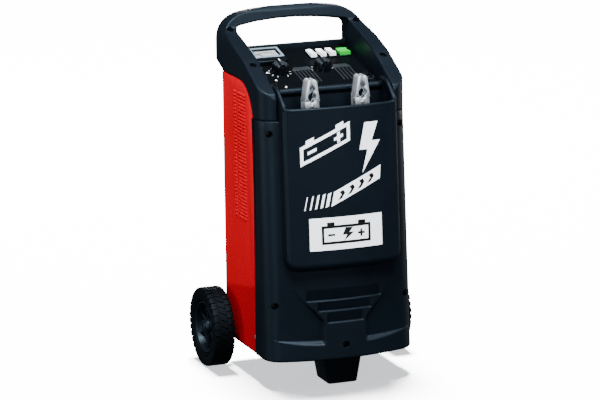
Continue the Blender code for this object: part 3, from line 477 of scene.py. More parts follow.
def make_materials():
    """Every finish by its short name."""
    return {
        "moulding": surface("black_moulding", (0.0013, 0.0022, 0.0038), (0.0019, 0.0031, 0.0052),
                            (0.4, 0.48), patch=9, grain=1500, depth=0.00006, gloss=0.12, tint=BLUISH),
        "gloss": surface("black_gloss", (0.0008, 0.0011, 0.0016), (0.0014, 0.0018, 0.0026), (0.24, 0.34),
                         patch=30, grain=900, depth=0.00002, gloss=0.18, tint=BLUISH),
        "plate": surface("panel_plate", (0.0004, 0.0005, 0.0007), (0.0008, 0.001, 0.0013), (0.45, 0.56),
                         patch=40, grain=2200, depth=0.00004, gloss=0.06, tint=BLUISH),
        # red panels, with painted shade low down
        "red": red_with_painted_shade("red_powder_coat_painted_shade"),
        "rubber": surface("tyre_rubber", (0.0004, 0.0005, 0.0007), (0.001, 0.0012, 0.0015), (0.55, 0.7),
                          patch=45, grain=700, depth=0.00015, gloss=0.08, tint=BLUISH),
        "soft": surface("foot_rubber", (0.0005, 0.0007, 0.001), (0.001, 0.0013, 0.0018), (0.46, 0.58),
                        patch=40, grain=900, depth=0.0001, gloss=0.1, tint=BLUISH),
        "hub": surface("hub_moulding", (0.0014, 0.0022, 0.0038), (0.0024, 0.0034, 0.0054), (0.34, 0.44),
                       patch=20, grain=1300, depth=0.00006, gloss=0.2, tint=BLUISH),
        "chrome": surface("clamp_chrome", (0.68, 0.72, 0.76), (0.78, 0.81, 0.84), (0.33, 0.39), patch=12,
                          metallic=0.9),
        "zinc": surface("zinc_plate", (0.52, 0.54, 0.57), (0.66, 0.67, 0.7), (0.26, 0.4), patch=160,
                        grain=800, depth=0.00004, metallic=1.0),
        "screw": surface("black_screw", (0.0005, 0.0005, 0.0007), (0.001, 0.001, 0.0013), (0.45, 0.6),
                         patch=300, grain=1800, depth=0.00003, gloss=0.05),
        "white": surface("white_plastic", (0.92, 0.93, 0.94), (0.97, 0.97, 0.98), (0.2, 0.28), patch=60,
                         grain=500, depth=0.00002),
        "print": surface("white_print", (0.93, 0.94, 0.95), (0.97, 0.97, 0.98), (0.35, 0.45), patch=80,
                         grain=1500, depth=0.00003),
        "trim": surface("meter_trim", (0.09, 0.13, 0.16), (0.13, 0.17, 0.2), (0.35, 0.45), patch=60,
                        grain=900, depth=0.00002),
        # grey: painted highlight of lit black plastic on the knob tops and the ribbed pads, and print on the
        # breaker's ring
        "grey": surface("grey_print_and_painted_highlight", (0.005, 0.007, 0.009), (0.008, 0.011, 0.014), (0.38, 0.48), patch=80,
                        grain=1500, depth=0.00004),
        "ink": surface("black_ink", (0.001, 0.001, 0.0014), (0.0018, 0.0018, 0.0022), (0.4, 0.5),
                       patch=80, grain=1500, depth=0.00003, gloss=0.15),
        "green": glowing("green_rocker", (0.0008, 0.3, 0.024), 0.02),
        "lamp": glowing("lamp_lens", (0.75, 0.72, 0.66), 0.25),
        "window": clear_window("clear_window"),
        "copper": surface("enamelled_copper", (0.3, 0.09, 0.03), (0.5, 0.18, 0.06), (0.3, 0.42), patch=90,
                          grain=600, depth=0.0002, metallic=0.6, stretch=(1, 1, 12)),
        "core": surface("core_laminations", (0.1, 0.1, 0.11), (0.2, 0.2, 0.21), (0.45, 0.6), patch=60,
                        grain=300, depth=0.0002, metallic=0.7, stretch=(1, 14, 1)),
        "aluminium": surface("sink_aluminium", (0.55, 0.56, 0.58), (0.7, 0.71, 0.73), (0.34, 0.46), patch=70,
                             grain=500, depth=0.00008, metallic=1.0, stretch=(1, 1, 8)),
    }


MATERIALS = make_materials()


# ---------------------------------------------------------------- front cover
def bow_y(x):
    """Y of the cover's bowed front at the bottom."""
    return COVER_EDGE_Y - COVER_BOW * (1 - (x / BOW_REACH) ** 2)


def cover_corner():
    """Middle and radius of the cover's round corner at the bottom, and the bow's slope where they meet."""
    slope = atan(2 * COVER_BOW * CORNER_X / BOW_REACH ** 2)
    radius = (COVER_HALF - CORNER_X) / (1 - sin(slope))
    return COVER_HALF - radius, bow_y(CORNER_X) + radius * cos(slope), radius, slope


def cover_y(x, z):
    """Y of the cover's plain front surface."""
    middle_x, middle_y, radius, _ = cover_corner()
    lean = LEAN * (z - BODY_BOTTOM)
    if abs(x) < CORNER_X:
        return bow_y(x) + lean
    return middle_y - sqrt(radius ** 2 - (abs(x) - middle_x) ** 2) + lean


def funnel_half(z):
    """Half width of the stepped boss: a narrow neck that opens upwards past its three steps."""
    points = ((0.0, NECK_HALF), (0.112, NECK_HALF), (STEP_Z[2] + 0.004, NECK_HALF + 0.0015),
              (STEP_Z[1], 0.0545), (STEP_Z[0], 0.0745), (0.172, 0.086), (0.3, 0.19))
    for (z0, w0), (z1, w1) in zip(points, points[1:]):
        if z <= z1:
            return w0 + (w1 - w0) * (z - z0) / (z1 - z0)
    return points[-1][1]


def ledge_span(x):
    """Lower and upper line of the sloping ledge over the bumper, at a distance from the middle."""
    t = min(1.0, max(0.0, (x - NECK_HALF) / (LEDGE_TIP[0] - NECK_HALF)))
    upper = LEDGE_Z + 0.0085 + (LEDGE_TIP[1] - LEDGE_Z - 0.0085) * t
    lower = LEDGE_Z + (LEDGE_TIP[1] - LEDGE_Z) * t - 0.003 * sin(pi * t)
    return lower, max(upper, lower + 0.0012)


def relief(x, z):
    """Depth of the cover's lower front behind its plain surface: side recesses and stepped boss."""
    away = abs(x)
    lower, upper = ledge_span(away)
    fade = (RECESS_TOP + 0.012 - z) / (RECESS_TOP + 0.012 - LEDGE_Z)
    bowl = RECESS_DEPTH * min(1.0, max(0.0, fade)) * max(0.0, 1 - (away / 0.131) ** 2)
    side = funnel_half(z)
    depth = bowl * step_up(away, side - 0.0008, side + 0.0042) * step_up(z, lower, upper)
    for i, (edge, half) in enumerate(zip(STEP_Z, STEP_HALF)):
        top = STEP_Z[i - 1] - 0.0004 if i else edge + 0.02
        if edge - 0.0012 < z < top:
            slope = min(1.0, (top - z) / (top - edge))
            ends = 1 - step_up(away, half - 0.0022, half + 0.0006)
            depth = max(depth, STEP_DEPTH * slope * step_up(z, edge - 0.0008, edge + 0.0008) * ends)
    return depth


def spaced(low, high, step):
    count = max(1, round((high - low) / step))
    return [low + (high - low) * i / count for i in range(count)]


def cover_ring(z, inset, wanted, plain):
    """Plan of the cover at one height: from the left rear, round the front, to the right rear."""
    middle_x, middle_y, radius, slope = cover_corner()
    rise = z - BODY_BOTTOM
    narrow = 1 - (1 - COVER_HALF_TOP / COVER_HALF) * rise / (SEAM_Z - BODY_BOTTOM)
    half = COVER_HALF - inset
    flank = [(-half, COVER_REAR + (middle_y - COVER_REAR) * i / 4) for i in range(4)]
    left = arc((-middle_x, middle_y), radius - inset, 180, 270 - degrees(slope), 26)
    front = []
    for x in wanted:
        lean = atan(2 * COVER_BOW * x / BOW_REACH ** 2)
        front.append((x - inset * sin(lean), bow_y(x) + inset * cos(lean)))
    ring = []
    for x, y in flank + left + front + [(-x, y) for x, y in left][::-1] + [(-x, y) for x, y in flank][::-1]:
        if y < middle_y:
            bowl = (COVER_BOW - 0.012) * max(0.0, (RECESS_TOP - z) / (RECESS_TOP - BODY_BOTTOM))
            y += bowl * max(0.0, 1 - (x / BOW_REACH) ** 2) if plain else relief(x * narrow, z)
        ring.append((x * narrow, y + LEAN * rise if y < COVER_REAR - 0.01 else y, z))
    return ring


def cover_shell():
    """The cover's wall: a fine outer skin with its relief and a plain inner one, thicker at the screws."""
    wanted = spaced(-CORNER_X, CORNER_X, 0.0013)[1:]
    rim = 0.0035
    turns = [pi / 2 * k / 5 for k in range(5)]
    heights = [(BODY_BOTTOM + rim * (1 - cos(a)), rim * (1 - sin(a))) for a in turns]
    heights += [(z, 0.0) for z in spaced(BODY_BOTTOM + rim, RECESS_TOP + 0.014, 0.0011)]
    heights += [(z, 0.0) for z in spaced(RECESS_TOP + 0.014, SEAM_Z - 0.002, 0.012)]
    heights += [(SEAM_Z - 0.002, 0.0), (SEAM_Z - 0.0012, 0.0002), (SEAM_Z - 0.0006, 0.0009)]
    rings = []
    for z, inset in heights:
        outer = cover_ring(z, inset, wanted, False)
        inner = cover_ring(z, WALL + inset + 0.0075 * step_up(z, 0.056, 0.066), wanted, True)
        rings.append(outer + inner[::-1])
    return loft("cover_shell", rings)


def pocket_ring(z, inset, rear, corner=0.0):
    """Plan of the pocket at one height, with its bowed front and rounded side edges."""
    half = POCKET_HALF - max(inset, corner)
    edge = POCKET_FACE_Y - LEAN * (POCKET_LIP - z) + inset
    radius = max(0.0012, POCKET_EDGE_R - inset)
    left = arc((-half + radius, edge + radius), radius, 180, 270, 8)
    right = [(-x, y) for x, y in left][::-1]
    reach = half - radius
    front = []
    for i in range(1, 24):
        t = -1 + 2 * i / 24
        front.append((t * reach, edge - POCKET_BOW * (1 - (t * reach / (POCKET_HALF - POCKET_EDGE_R)) ** 2)))
    flank = [(-half, rear + (edge + radius - rear) * i / 3) for i in range(3)]
    across = [(x, y) for x, y in flank + left + front + right] + [(-x, y) for x, y in flank][::-1]
    return [(x, y, z) for x, y in across]


def pocket_solid():
    """Pocket block with round lower corners and a rounded lower edge."""
    lower = 0.0145
    rings = []
    for k in range(15):
        a = pi / 2 * k / 14
        rise, corner = POCKET_CORNER_R * (1 - cos(a)), POCKET_CORNER_R * (1 - sin(a))
        inset = lower - sqrt(lower ** 2 - (lower - rise) ** 2) if rise < lower else 0.0
        rings.append(pocket_ring(POCKET_BOTTOM + rise, inset, BIN_REAR + WALL, corner))
    rings += [pocket_ring(z, 0.0, BIN_REAR + WALL) for z in (0.26, 0.3, 0.34, 0.38, 0.42, 0.46, 0.5, 0.55)]
    return loft("pocket", rings)


def bin_cutters():
    """The bin's hollow, and the space over its lip."""
    hollow = loft("bin", [pocket_ring(z, WALL, BIN_REAR) for z in (BIN_FLOOR, 0.44, 0.48, 0.52, 0.57)])
    bar_front = LIP_BAR[0] - LIP_BAR[2] - 0.0012
    bar_under = LIP_BAR[1] - LIP_BAR[2] - 0.003
    lip = [(-0.2, POCKET_LIP), (LIP_FRONT_Y, POCKET_LIP), (LIP_REAR_Y, POCKET_TOP), (bar_front, POCKET_TOP),
           (bar_front, bar_under), (-0.03, bar_under), (-0.03, 0.62), (-0.2, 0.62)]
    return [hollow, sweep("lip_cut", lip, "X", -0.2, 0.2)]


def rim_path():
    """Middle line of the rounded rim round the pocket's lip, from the left cheek to the right one."""
    inset = RIM_R - 0.0002
    side = POCKET_HALF - inset
    front = [(x, y, POCKET_LIP + 0.001 * (abs(x) > side - 0.003))
             for x, y, _ in pocket_ring(POCKET_LIP, inset, 0.0) if y < -0.1175]
    left = [(-side, -0.062, POCKET_TOP), (-side, -0.076, POCKET_TOP), (-side, -0.085, POCKET_TOP - 0.0004)]
    slope = (POCKET_TOP - POCKET_LIP) / (LIP_REAR_Y - LIP_FRONT_Y)
    for y in (-0.09, -0.096, -0.102, -0.108, -0.114, -0.1185):
        left.append((-side, y, POCKET_TOP + slope * (y - LIP_REAR_Y)))
    left.append((-side, -0.1215, POCKET_LIP + 0.0028))
    return left + front + [(-x, y, z) for x, y, z in left][::-1]


def screw_hole():
    """Round recess with a softened mouth, from which a screw head stands back."""
    return turned("hole", [(0, 0.008), (SEAT_R + 0.0004, 0.008), (SEAT_R + 0.0004, 0.0), (SEAT_R, -0.001),
                           (SEAT_R - 0.0003, -0.0062), (0, -0.0062)], 36)


def facing_front(made, x, z):
    return moved(made, Matrix.Translation((x, cover_y(x, z), z)) @ Matrix.Rotation(pi / 2 - LEAN, 4, "X"))


def front_screw_places():
    places = [(side * COLUMN_SCREW_X, z) for side in (-1, 1) for z in COLUMN_SCREW_Z]
    return places + [(0.0, BUMPER_SCREW_Z)]


def front_cover():
    cover = boolean(cover_shell(), [pocket_solid()], "UNION", "MANIFOLD")
    boolean(cover, bin_cutters(), "DIFFERENCE", "MANIFOLD")
    cover.name = "front_cover_moulding"
    holes = [facing_front(screw_hole(), x, z) for x, z in front_screw_places()]
    boolean(cover, holes, "DIFFERENCE", "MANIFOLD")
    piece(cover, "moulding", stands_for=["front_cover"], angle=40)
    rim = tube("pocket_rim", rim_path(), RIM_R, 12)
    piece(rim, "moulding", angle=60)


# ---------------------------------------------------------------- hoop
def frame_side_outline():
    """Hoop seen from the side, in Y and Z."""
    edge = arc(SWEPT_EDGE, SWEPT_R, 169.8, 90, 14)
    top = [(-0.104, SEAM_Z), (-0.1025, 0.5185), (-0.0975, 0.5275), (-0.086, 0.534),
           (-0.01, 0.5735), (0.04, 0.5905), (0.092, 0.606), (0.104, 0.613), (0.1085, 0.626),
           (0.113, 0.638), (0.121, GRIP_TOP), (0.13, 0.644), (0.139, 0.638), (HANDLE_REAR, 0.627),
           (HANDLE_REAR, 0.562), (0.137, 0.554), (PANEL_REAR + 0.0005, 0.54),
           (PANEL_REAR + 0.0005, SWEPT_TOP)]
    return top + edge[::-1]


def hoop_front_outline():
    """Hoop seen from the front, in X and Z: round shoulders and a bowed grip."""
    corner = arc((FRAME_HALF - HOOP_CORNER_R, HOOP_SHOULDER_Z - HOOP_CORNER_R), HOOP_CORNER_R, 0, 80, 16)
    reach, level = corner[-1]
    crown = []
    for i in range(1, 16):
        x = reach - 2 * reach * i / 16
        crown.append((x, level + (GRIP_TOP + 0.0005 - level) * (1 - (x / reach) ** 2)))
    return [(FRAME_HALF, 0.3)] + corner + crown + [(-x, z) for x, z in corner][::-1] + [(-FRAME_HALF, 0.3)]


def hoop_plan_outline():
    """Hoop seen from above, in X and Y. Its front corners carry on those of the cover."""
    _, corner_y, corner_r, _ = cover_corner()
    front_middle = (FRAME_HALF - corner_r, corner_y + LEAN * (SEAM_Z - BODY_BOTTOM))
    rear = arc((FRAME_HALF - HOOP_REAR_R, HANDLE_REAR - HOOP_REAR_R), HOOP_REAR_R, 0, 90, 8)
    front = arc(front_middle, corner_r, 270, 360, 20)
    return rear + [(-x, y) for x, y in rear][::-1] + [(-x, y) for x, y in front][::-1] + front


def opening_outline(opening):
    """Space between the cheeks in X and Z, closed above by the bowed underside of the grip."""
    half, radius, end, mid = opening
    corner = arc((half - radius, end - radius), radius, 0, 80, 8)
    reach, level = corner[-1]
    crown = []
    for i in range(1, 14):
        x = reach - 2 * reach * i / 14
        crown.append((x, level + (mid - level) * (1 - (x / reach) ** 2)))
    return [(half, 0.3)] + corner + crown + [(-x, z) for x, z in corner][::-1] + [(-half, 0.3)]


def panel_z(y):
    return TILT_REAR[1] - (TILT_REAR[0] - y) * tan(PANEL_TILT)


def well_outline():
    """Space above the control panel, in Y and Z."""
    rear_step, seat, front = 0.1267, -0.006, DECK_FRONT - 0.008
    shelf = panel_z(rear_step) + SHELF_RISE
    return [(front, panel_z(front) + seat), (rear_step, panel_z(rear_step) + seat), (rear_step, shelf),
            (0.3, shelf - (0.3 - rear_step) * SHELF_FALL), (0.3, 0.7), (front, 0.7)]


def hoop():
    """Cheeks, grip and deck as one soft moulding, with the parting gap between frame and rear shell."""
    made = sweep("hoop_form", frame_side_outline(), "X", -0.2, 0.2)
    boolean(made, [sweep("hoop_front", hoop_front_outline(), "Y", -0.2, 0.2),
                   sweep("hoop_plan", hoop_plan_outline(), "Z", 0.4, 0.7)], "INTERSECT")
    wells = []
    for opening, near, far in ((FRAME_OPENING, -0.3, SPLIT_Y), (SHELL_OPENING, SPLIT_Y - 0.001, 0.35)):
        wells.append(boolean(sweep("well", well_outline(), "X", -0.25, 0.25),
                             [sweep("opening", opening_outline(opening), "Y", near, far)], "INTERSECT"))
    bin_space = box("bin_space", (-CHEEK_INNER, -0.3, 0.3), (CHEEK_INNER, DECK_FRONT, 0.7))
    boolean(made, wells + [bin_space])
    soften(made, 0.0014, 6)
    holes = [on_cheek(screw_hole(), side * x, y) for side in (-1, 1) for x, y in CHEEK_SCREWS]
    parting = box("parting", (-0.2, SPLIT_Y - 0.0003, 0.5), (0.2, SPLIT_Y + 0.0003, 0.7))
    boolean(made, holes + [parting], "DIFFERENCE", "MANIFOLD")
    made.name = "handle_moulding"
    piece(made, "moulding", stands_for=["handle_frame", "handle_rear_shell"], angle=50)
    # thin walls that close the slots between the control panel's edges and the cheeks
    walls = [box("wall", (x, -0.05, 0.5), (x + 0.0023, 0.0975, 0.5372)) for x in (-0.1125, 0.1102)]
    piece(together("deck_side_walls", walls), "moulding")
    y, z, radius = LIP_BAR
    bar = tube("bin_rear_bar", [(-CHEEK_INNER - 0.001, y, z), (CHEEK_INNER + 0.001, y, z)], radius, 24)
    piece(bar, "moulding", angle=50)


def cheek_line(y):
    """Height and slope of the cheek's top at a given Y."""
    points = frame_side_outline()
    for (y0, z0), (y1, z1) in zip(points, points[1:]):
        if y0 <= y <= y1:
            return z0 + (z1 - z0) * (y - y0) / (y1 - y0), (z1 - z0) / (y1 - y0)
    return GRIP_TOP, 0.0


def on_cheek(made, x, y):
    z, slope = cheek_line(y)
    turn = Matrix.Rotation(asin(slope / sqrt(1 + slope * slope)), 4, "X")
    return moved(made, Matrix.Translation((x, y, z)) @ turn)


def screw_head(name):
    """Pan head with a cross recess."""
    head = turned(name, [(0, 0.0016), (0.0022, 0.0015), (0.0034, 0.0011), (HEAD_R, 0.0003), (HEAD_R, -0.0004),
                         (0, -0.0004)], 28)
    slots = [box("slot", (-0.0021, -0.0004, 0.0004), (0.0021, 0.0004, 0.003)),
             box("slot", (-0.0004, -0.0021, 0.0003), (0.0004, 0.0021, 0.004))]
    return boolean(head, slots)


def screws():
    sunk = -HEAD_SINK
    for side, word in ((-1, "left"), (1, "right")):
        for (x, y), level in zip(CHEEK_SCREWS, ("front", "rear")):
            name = f"cheek_screw_{level}_{word}"
            made = on_cheek(shifted(screw_head(name + "_head"), 0, 0, sunk), side * x, y)
            piece(made, "screw", stands_for=[name])
        for z, level in zip(COLUMN_SCREW_Z, ("lower", "upper")):
            name = f"column_screw_{level}_{word}"
            made = facing_front(shifted(screw_head(name + "_head"), 0, 0, sunk), side * COLUMN_SCREW_X, z)
            piece(made, "screw", stands_for=[name])
    made = facing_front(shifted(screw_head("bumper_screw_head"), 0, 0, sunk), 0.0, BUMPER_SCREW_Z)
    piece(made, "screw", stands_for=["bumper_screw"])


# ---------------------------------------------------------------- steel box
def side_outline():
    """Side panel in Y and Z; its top front corner follows the handle frame's swept edge."""
    gap = 0.0008
    curve = arc(SWEPT_EDGE, SWEPT_R - gap, 180, 90, 16)
    return [(side_low.y, side_low.z), (PANEL_REAR, side_low.z), (PANEL_REAR, SWEPT_TOP - gap),
            *curve[::-1], (side_low.y, curve[0][1])]


LOUVRE_ROWS, LOUVRE_PITCH, LOUVRE_FIRST = 36, 0.0064, 0.287
LOUVRE_COLUMNS = ((-0.0215, 0.0245), (0.029, 0.0425))


def louvre(front, rear, z, side):
    """One pressed louvre: a shallow hood over its slit, faded out at both ends."""
    long, tall, proud, height = 10, 4, 0.0015, 0.0034
    rows = []
    for i in range(long + 1):
        t = i / long
        y = front + (rear - front) * t
        swell = min(1.0, sin(pi * t) * 2.4)
        row = []
        for k in range(tall + 1):
            a = pi / 2 * k / tall
            out = proud * swell * sin(a)
            row.append((side * (PANEL_HALF - 0.0002 + out), y, z + height * cos(a)))
        row += [(side * (PANEL_HALF - 0.0006), y, level) for level in (z, z + height)]
        rows.append(row)
    return loft("louvre", rows)


def side_panel(word, side):
    near, far = sorted((side * (PANEL_HALF - 0.0015), side * PANEL_HALF))
    panel = bevel(sweep(f"{word}_panel_sheet", side_outline(), "X", near, far), 0.0005, 2, 50)
    slits, hoods = [], []
    for row in range(LOUVRE_ROWS):
        z = LOUVRE_FIRST + row * LOUVRE_PITCH
        for front, rear in LOUVRE_COLUMNS:
            slits.append(box("slit", (near - 0.002, front + 0.0025, z + 0.0003),
                             (far + 0.002, rear - 0.0025, z + 0.0018)))
            hoods.append(louvre(front, rear, z, side))
    boolean(panel, [together("slits", slits)])
    place = Matrix.Translation((side * PANEL_HALF, AXLE.y, AXLE.z)) @ Matrix.Rotation(pi / 2, 4, "Y")
    boolean(panel, [moved(cylinder("axle_hole", 0.0068, -0.01, 0.01, 24), place)])
    made = together(f"{word}_panel_sheet", [panel] + hoods)
    piece(made, "red", stands_for=[f"{word}_side_panel"])
    place = Matrix.Translation((side * (PANEL_HALF + 0.0004), -0.055, 0.082))
    bolt = moved(screw_head(f"{word}_tray_screw"), place @ Matrix.Rotation(side * pi / 2, 4, "Y"))
    piece(bolt, "zinc")


def rear_screws():
    """Screws along both edges of the rear panel."""
    heads = []
    for side in (-1, 1):
        for z in (0.075, 0.23, 0.385, 0.52):
            heads.append(moved(screw_head("head"), Matrix.Translation((side * 0.128, PANEL_REAR + 0.0004, z))
                               @ Matrix.Rotation(-pi / 2, 4, "X")))
    piece(together("rear_panel_screws", heads), "screw")


# ---------------------------------------------------------------- wheels
def tyre_profile(radius):
    """Tyre section as (radius, offset) points from the outer bead over the tread to the inner bead."""
    half = WHEEL_WIDTH / 2 - 0.0006
    outer = [(0.048, half - 0.0045), (0.0495, half - 0.0018), (0.052, half - 0.001),
             (0.054, half - 0.0022), (0.056, half - 0.001), (0.06, half - 0.0004),
             (0.065, half - 0.0004),
             (radius - 0.0014, half - 0.0014), (radius - 0.0004, half - 0.0026), (radius, half - 0.005)]
    return mirrored(outer) + [outer[0]]


def tread_block(low, high, start, end, skew, radius):
    """One tread block between two offsets and two angles, standing on the carcass."""
    rings = []
    for level, shrink in ((radius - 0.004, 0.0), (WHEEL_R - 0.0006, 0.0), (WHEEL_R - 0.00002, 0.0006)):
        ring = []
        near, far = low + shrink, high - shrink
        for offset, a in ((near, start), (far, start), (far, end), (near, end)):
            turn = a + skew * offset + (shrink / WHEEL_R if a == start else -shrink / WHEEL_R)
            ring.append((level * cos(turn), level * sin(turn), offset))
        rings.append(ring)
    return loft("block", rings)


def shoulder_block(side, start, end, radius):
    """Tread block that wraps over the shoulder onto the side wall."""
    half = WHEEL_WIDTH / 2
    section = [(radius - 0.004, 0.0075), (WHEEL_R - 0.0004, 0.0075), (WHEEL_R - 0.00002, 0.0085),
               (WHEEL_R - 0.00002, half - 0.0046), (WHEEL_R - 0.0006, half - 0.0022),
               (WHEEL_R - 0.0022, half - 0.0005), (WHEEL_R - 0.006, half - 0.0001),
               (WHEEL_R - 0.0075, half - 0.003)]
    rings = [[(r * cos(a), r * sin(a), side * h) for r, h in section] for a in (start, end)]
    return loft("block", rings)


def tyre(name):
    """Carcass with two rows of shoulder blocks and a skewed middle row."""
    radius = WHEEL_R - 0.0018
    parts = [turned("carcass", tyre_profile(radius), 96)]
    count = 36
    for k in range(count):
        start = 2 * pi * k / count
        end = start + 2 * pi / count * 0.68
        parts.append(shoulder_block(1, start, end, radius))
        parts.append(shoulder_block(-1, start + pi / count, end + pi / count, radius))
        parts.append(tread_block(-0.006, 0.006, start + 0.02, end + 0.01, 6.0, radius))
    return together(name, parts)


# distance from the axis, half width at the root and at the crest, and height of a spoke at its two ends
SPOKE_ENDS = ((0.015, 0.0034, 0.0026, 0.0085), (0.0432, 0.0022, 0.0014, 0.0105))


def hub(name):
    """Rim, web and boss with six spokes on either face."""
    half = WHEEL_WIDTH / 2
    side = [(0.0477, half - 0.005), (0.0462, half - 0.0034), (0.044, half - 0.004),
            (0.0425, half - 0.0075), (0.0415, 0.0035), (0.0405, 0.002), (0.015, 0.0032), (0.0063, 0.0032)]
    rim = turned("rim", mirrored(side) + [side[0]], 72)
    boss = turned("boss", [(0.0063, 0.0092), (0.0155, 0.0092), (0.0165, 0.0082), (0.0172, 0.002),
                           (0.0172, -0.006), (0.014, -0.024), (0.013, -0.026), (0.0063, -0.026),
                           (0.0063, 0.0092)], 48)
    parts = [rim, boss]
    for k in range(6):
        for face in (1, -1):
            ends = [[(r, -root, face * 0.0015), (r, root, face * 0.0015), (r, crest, face * high),
                     (r, -crest, face * high)] for r, root, crest, high in SPOKE_ENDS]
            spoke = bevel(loft("spoke", ends), 0.0005, 2)
            parts.append(moved(spoke, Matrix.Rotation(2 * pi * k / 6, 4, "Z")))
    return together(name, parts)


def hub_cap(name):
    cover = turned("cover", [(0, 0.0172), (0.007, 0.017), (0.01, 0.0163), (0.0125, 0.015),
                             (0.014, 0.0132), (0.0148, 0.0115), (0.015, 0.0096), (0.0125, 0.0096),
                             (0.0122, 0.013), (0, 0.0148)], 48)
    ring = turned("cap_ring", [(0.0062, 0.0171), (0.0066, 0.0177), (0.0074, 0.0176), (0.0078, 0.0168),
                               (0.0062, 0.0171)], 40)
    return together(name, [cover, ring])


def wheel(word, side):
    facing = Matrix.Translation((side * WHEEL_X, AXLE.y, AXLE.z)) @ Matrix.Rotation(side * pi / 2, 4, "Y")
    body = f"wheel_{word}"
    piece(moved(tyre(f"tyre_{word}_rubber"), facing), "rubber", body, [f"tyre_{word}"], 30)
    piece(moved(hub(f"hub_{word}_moulding"), facing), "hub", body, [f"hub_{word}"])
    piece(moved(hub_cap(f"hub_cap_{word}_cover"), facing), "hub", body,
          [f"hub_cap_{word}"])


# ---------------------------------------------------------------- battery clamps
def limb_outline(lift):
    """Right limb of a clamp about its pivot, in X and Z: jaw above and handle below."""
    jaw = ([(0.005, 0.0086)] + arc((0.0002, 0.0165), 0.0078, -38, 58, 7) + [(0.002, 0.0248)]
           + arc((-0.0004, 0.031), 0.0056, -50, 56, 7)
           + [(0.001, 0.0372), (0.0009, 0.0425), (0.0014, 0.0462), (0.0026, 0.0476)]
           + arc((0.003, 0.0414), 0.0062, 84, 8, 8) + [(0.0106, 0.032), (0.0122, 0.02), (0.0142, 0.0086)])
    foot = BIN_FLOOR + 0.0003 - CLAMP_PIVOT_Z + lift
    handle = [(0.0136, -0.0088), (0.0162, -0.015), (0.02, -0.026), (0.0268, -0.056), (0.0312, foot),
              (0.0242, foot), (0.0202, -0.056), (0.0135, -0.026), (0.0098, -0.015), (0.0072, -0.0088)]
    return jaw, handle


def on_side(points, side):
    """The points, or their mirror image."""
    return [(side * x, z) for x, z in points]


def limb(name, side, layer, lift, place, body, stands_for):
    """One limb: pressed jaw with teeth, ears round the pivot, and a handle in an insulating sleeve."""
    jaw, handle = limb_outline(lift)
    deep = CLAMP_DEPTH
    made = sweep(name, on_side(jaw, side), "Y", -deep, deep)
    gutter = [(-0.02, -0.02), (0.0108, -0.02), (0.0096, 0.02), (0.008, 0.032), (0.007, 0.0355),
              (-0.02, 0.0355)]
    boolean(made, [sweep("gutter", on_side(gutter, side), "Y", -deep + 0.0028, deep - 0.0028)])
    parts = [bevel(made, 0.0007, 2, 40)]
    for i in range(3):
        z = 0.0384 + i * 0.0022
        tooth = on_side([(0.0003, z), (0.0022, z - 0.001), (0.0022, z + 0.001)], side)
        for near, far in ((-deep + 0.0004, -deep + 0.0024), (deep - 0.0024, deep - 0.0004)):
            parts.append(sweep("tooth", tooth, "Y", near, far))
    web = [(0.0137, -0.012), (0.014, 0.012), (0.006, 0.012), (0.0034, 0.0062), (-0.003, 0.0058),
           (-0.0058, 0.0024), (-0.0058, -0.0024), (-0.003, -0.0058), (0.004, -0.0062), (0.0085, -0.012)]
    for sign in (-1, 1):
        near, far = sorted(sign * d for d in layer)
        ear = sweep("ear", on_side(web, side), "Y", near, far)
        hole = moved(cylinder("ear_hole", 0.0027, -0.02, 0.02, 24), Matrix.Rotation(pi / 2, 4, "X"))
        parts.append(bevel(boolean(ear, [hole]), 0.0004, 2, 40))
    piece(moved(together(name, parts), place), "chrome", body, stands_for, 40)
    sleeve = sweep(name + "_sleeve", on_side(handle, side), "Y", -deep + 0.0006, deep - 0.0006)
    piece(moved(bevel(sleeve, 0.0018, 3, 40), place), "soft", body)


def clamp(word):
    """Two limbs on a rivet, opened by hand against a coil spring with two legs."""
    outer = (CLAMP_DEPTH - 0.0026, CLAMP_DEPTH)
    inner = (CLAMP_DEPTH - 0.0055, CLAMP_DEPTH - 0.0029)
    base = f"clamp_{word}"
    place = Matrix.Translation((*CLAMP_PLACES[word], CLAMP_PIVOT_Z))
    limb(f"{base}_fixed_limb", -1, outer, 0.0, place, base, [f"{base}_fixed_jaw"])
    limb(f"{base}_moving_limb", 1, inner, 0.006, place, f"{base}_jaw", [f"{base}_moving_jaw"])
    rivet = turned(f"{base}_rivet", mirrored([(0, 0.0117), (0.0022, 0.0116), (0.0036, 0.0111),
                                              (0.0036, 0.01085), (0.0024, 0.01085)]), 24)
    piece(moved(rivet, place @ Matrix.Rotation(pi / 2, 4, "X")), "zinc", base,
          [f"{base}_pin"])
    turns, steps, radius = 4, 20, 0.0038
    reach = CLAMP_DEPTH - 0.0062
    coil = [(0.0044, -reach, -0.0085)]
    for i in range(turns * steps + 1):
        a = 2 * pi * i / steps
        coil.append((radius * cos(a), -reach + 2 * reach * i / (turns * steps), radius * sin(a)))
    coil.append((-0.0044, reach, -0.0085))
    spring = tube(f"{base}_torsion_spring", coil, 0.0006, 8)
    piece(moved(spring, place), "zinc", base, [f"{base}_spring"])


# ---------------------------------------------------------------- control panel
def on_panel(made, x, y, height=0.0, lean=0.0, turn=0.0):
    """Stand a piece on the panel: its own Z along the panel's normal."""
    normal = Vector((0, -sin(PANEL_TILT), cos(PANEL_TILT)))
    spot = Vector((x, y, panel_z(y))) + normal * height
    return moved(made, Matrix.Translation(spot) @ Matrix.Rotation(PANEL_TILT + lean, 4, "X")
                 @ Matrix.Rotation(turn, 4, "Z"))


def rod(name, start, end, width, low, high):
    """Flat bar on the panel from one point to another."""
    a, b = Vector((*start, 0)), Vector((*end, 0))
    along = (b - a).normalized()
    side = Vector((-along.y, along.x, 0)) * width / 2
    ring = [a - side, b - side, b + side, a + side]
    return loft(name, [[(p.x, p.y, low) for p in ring], [(p.x, p.y, high) for p in ring]])


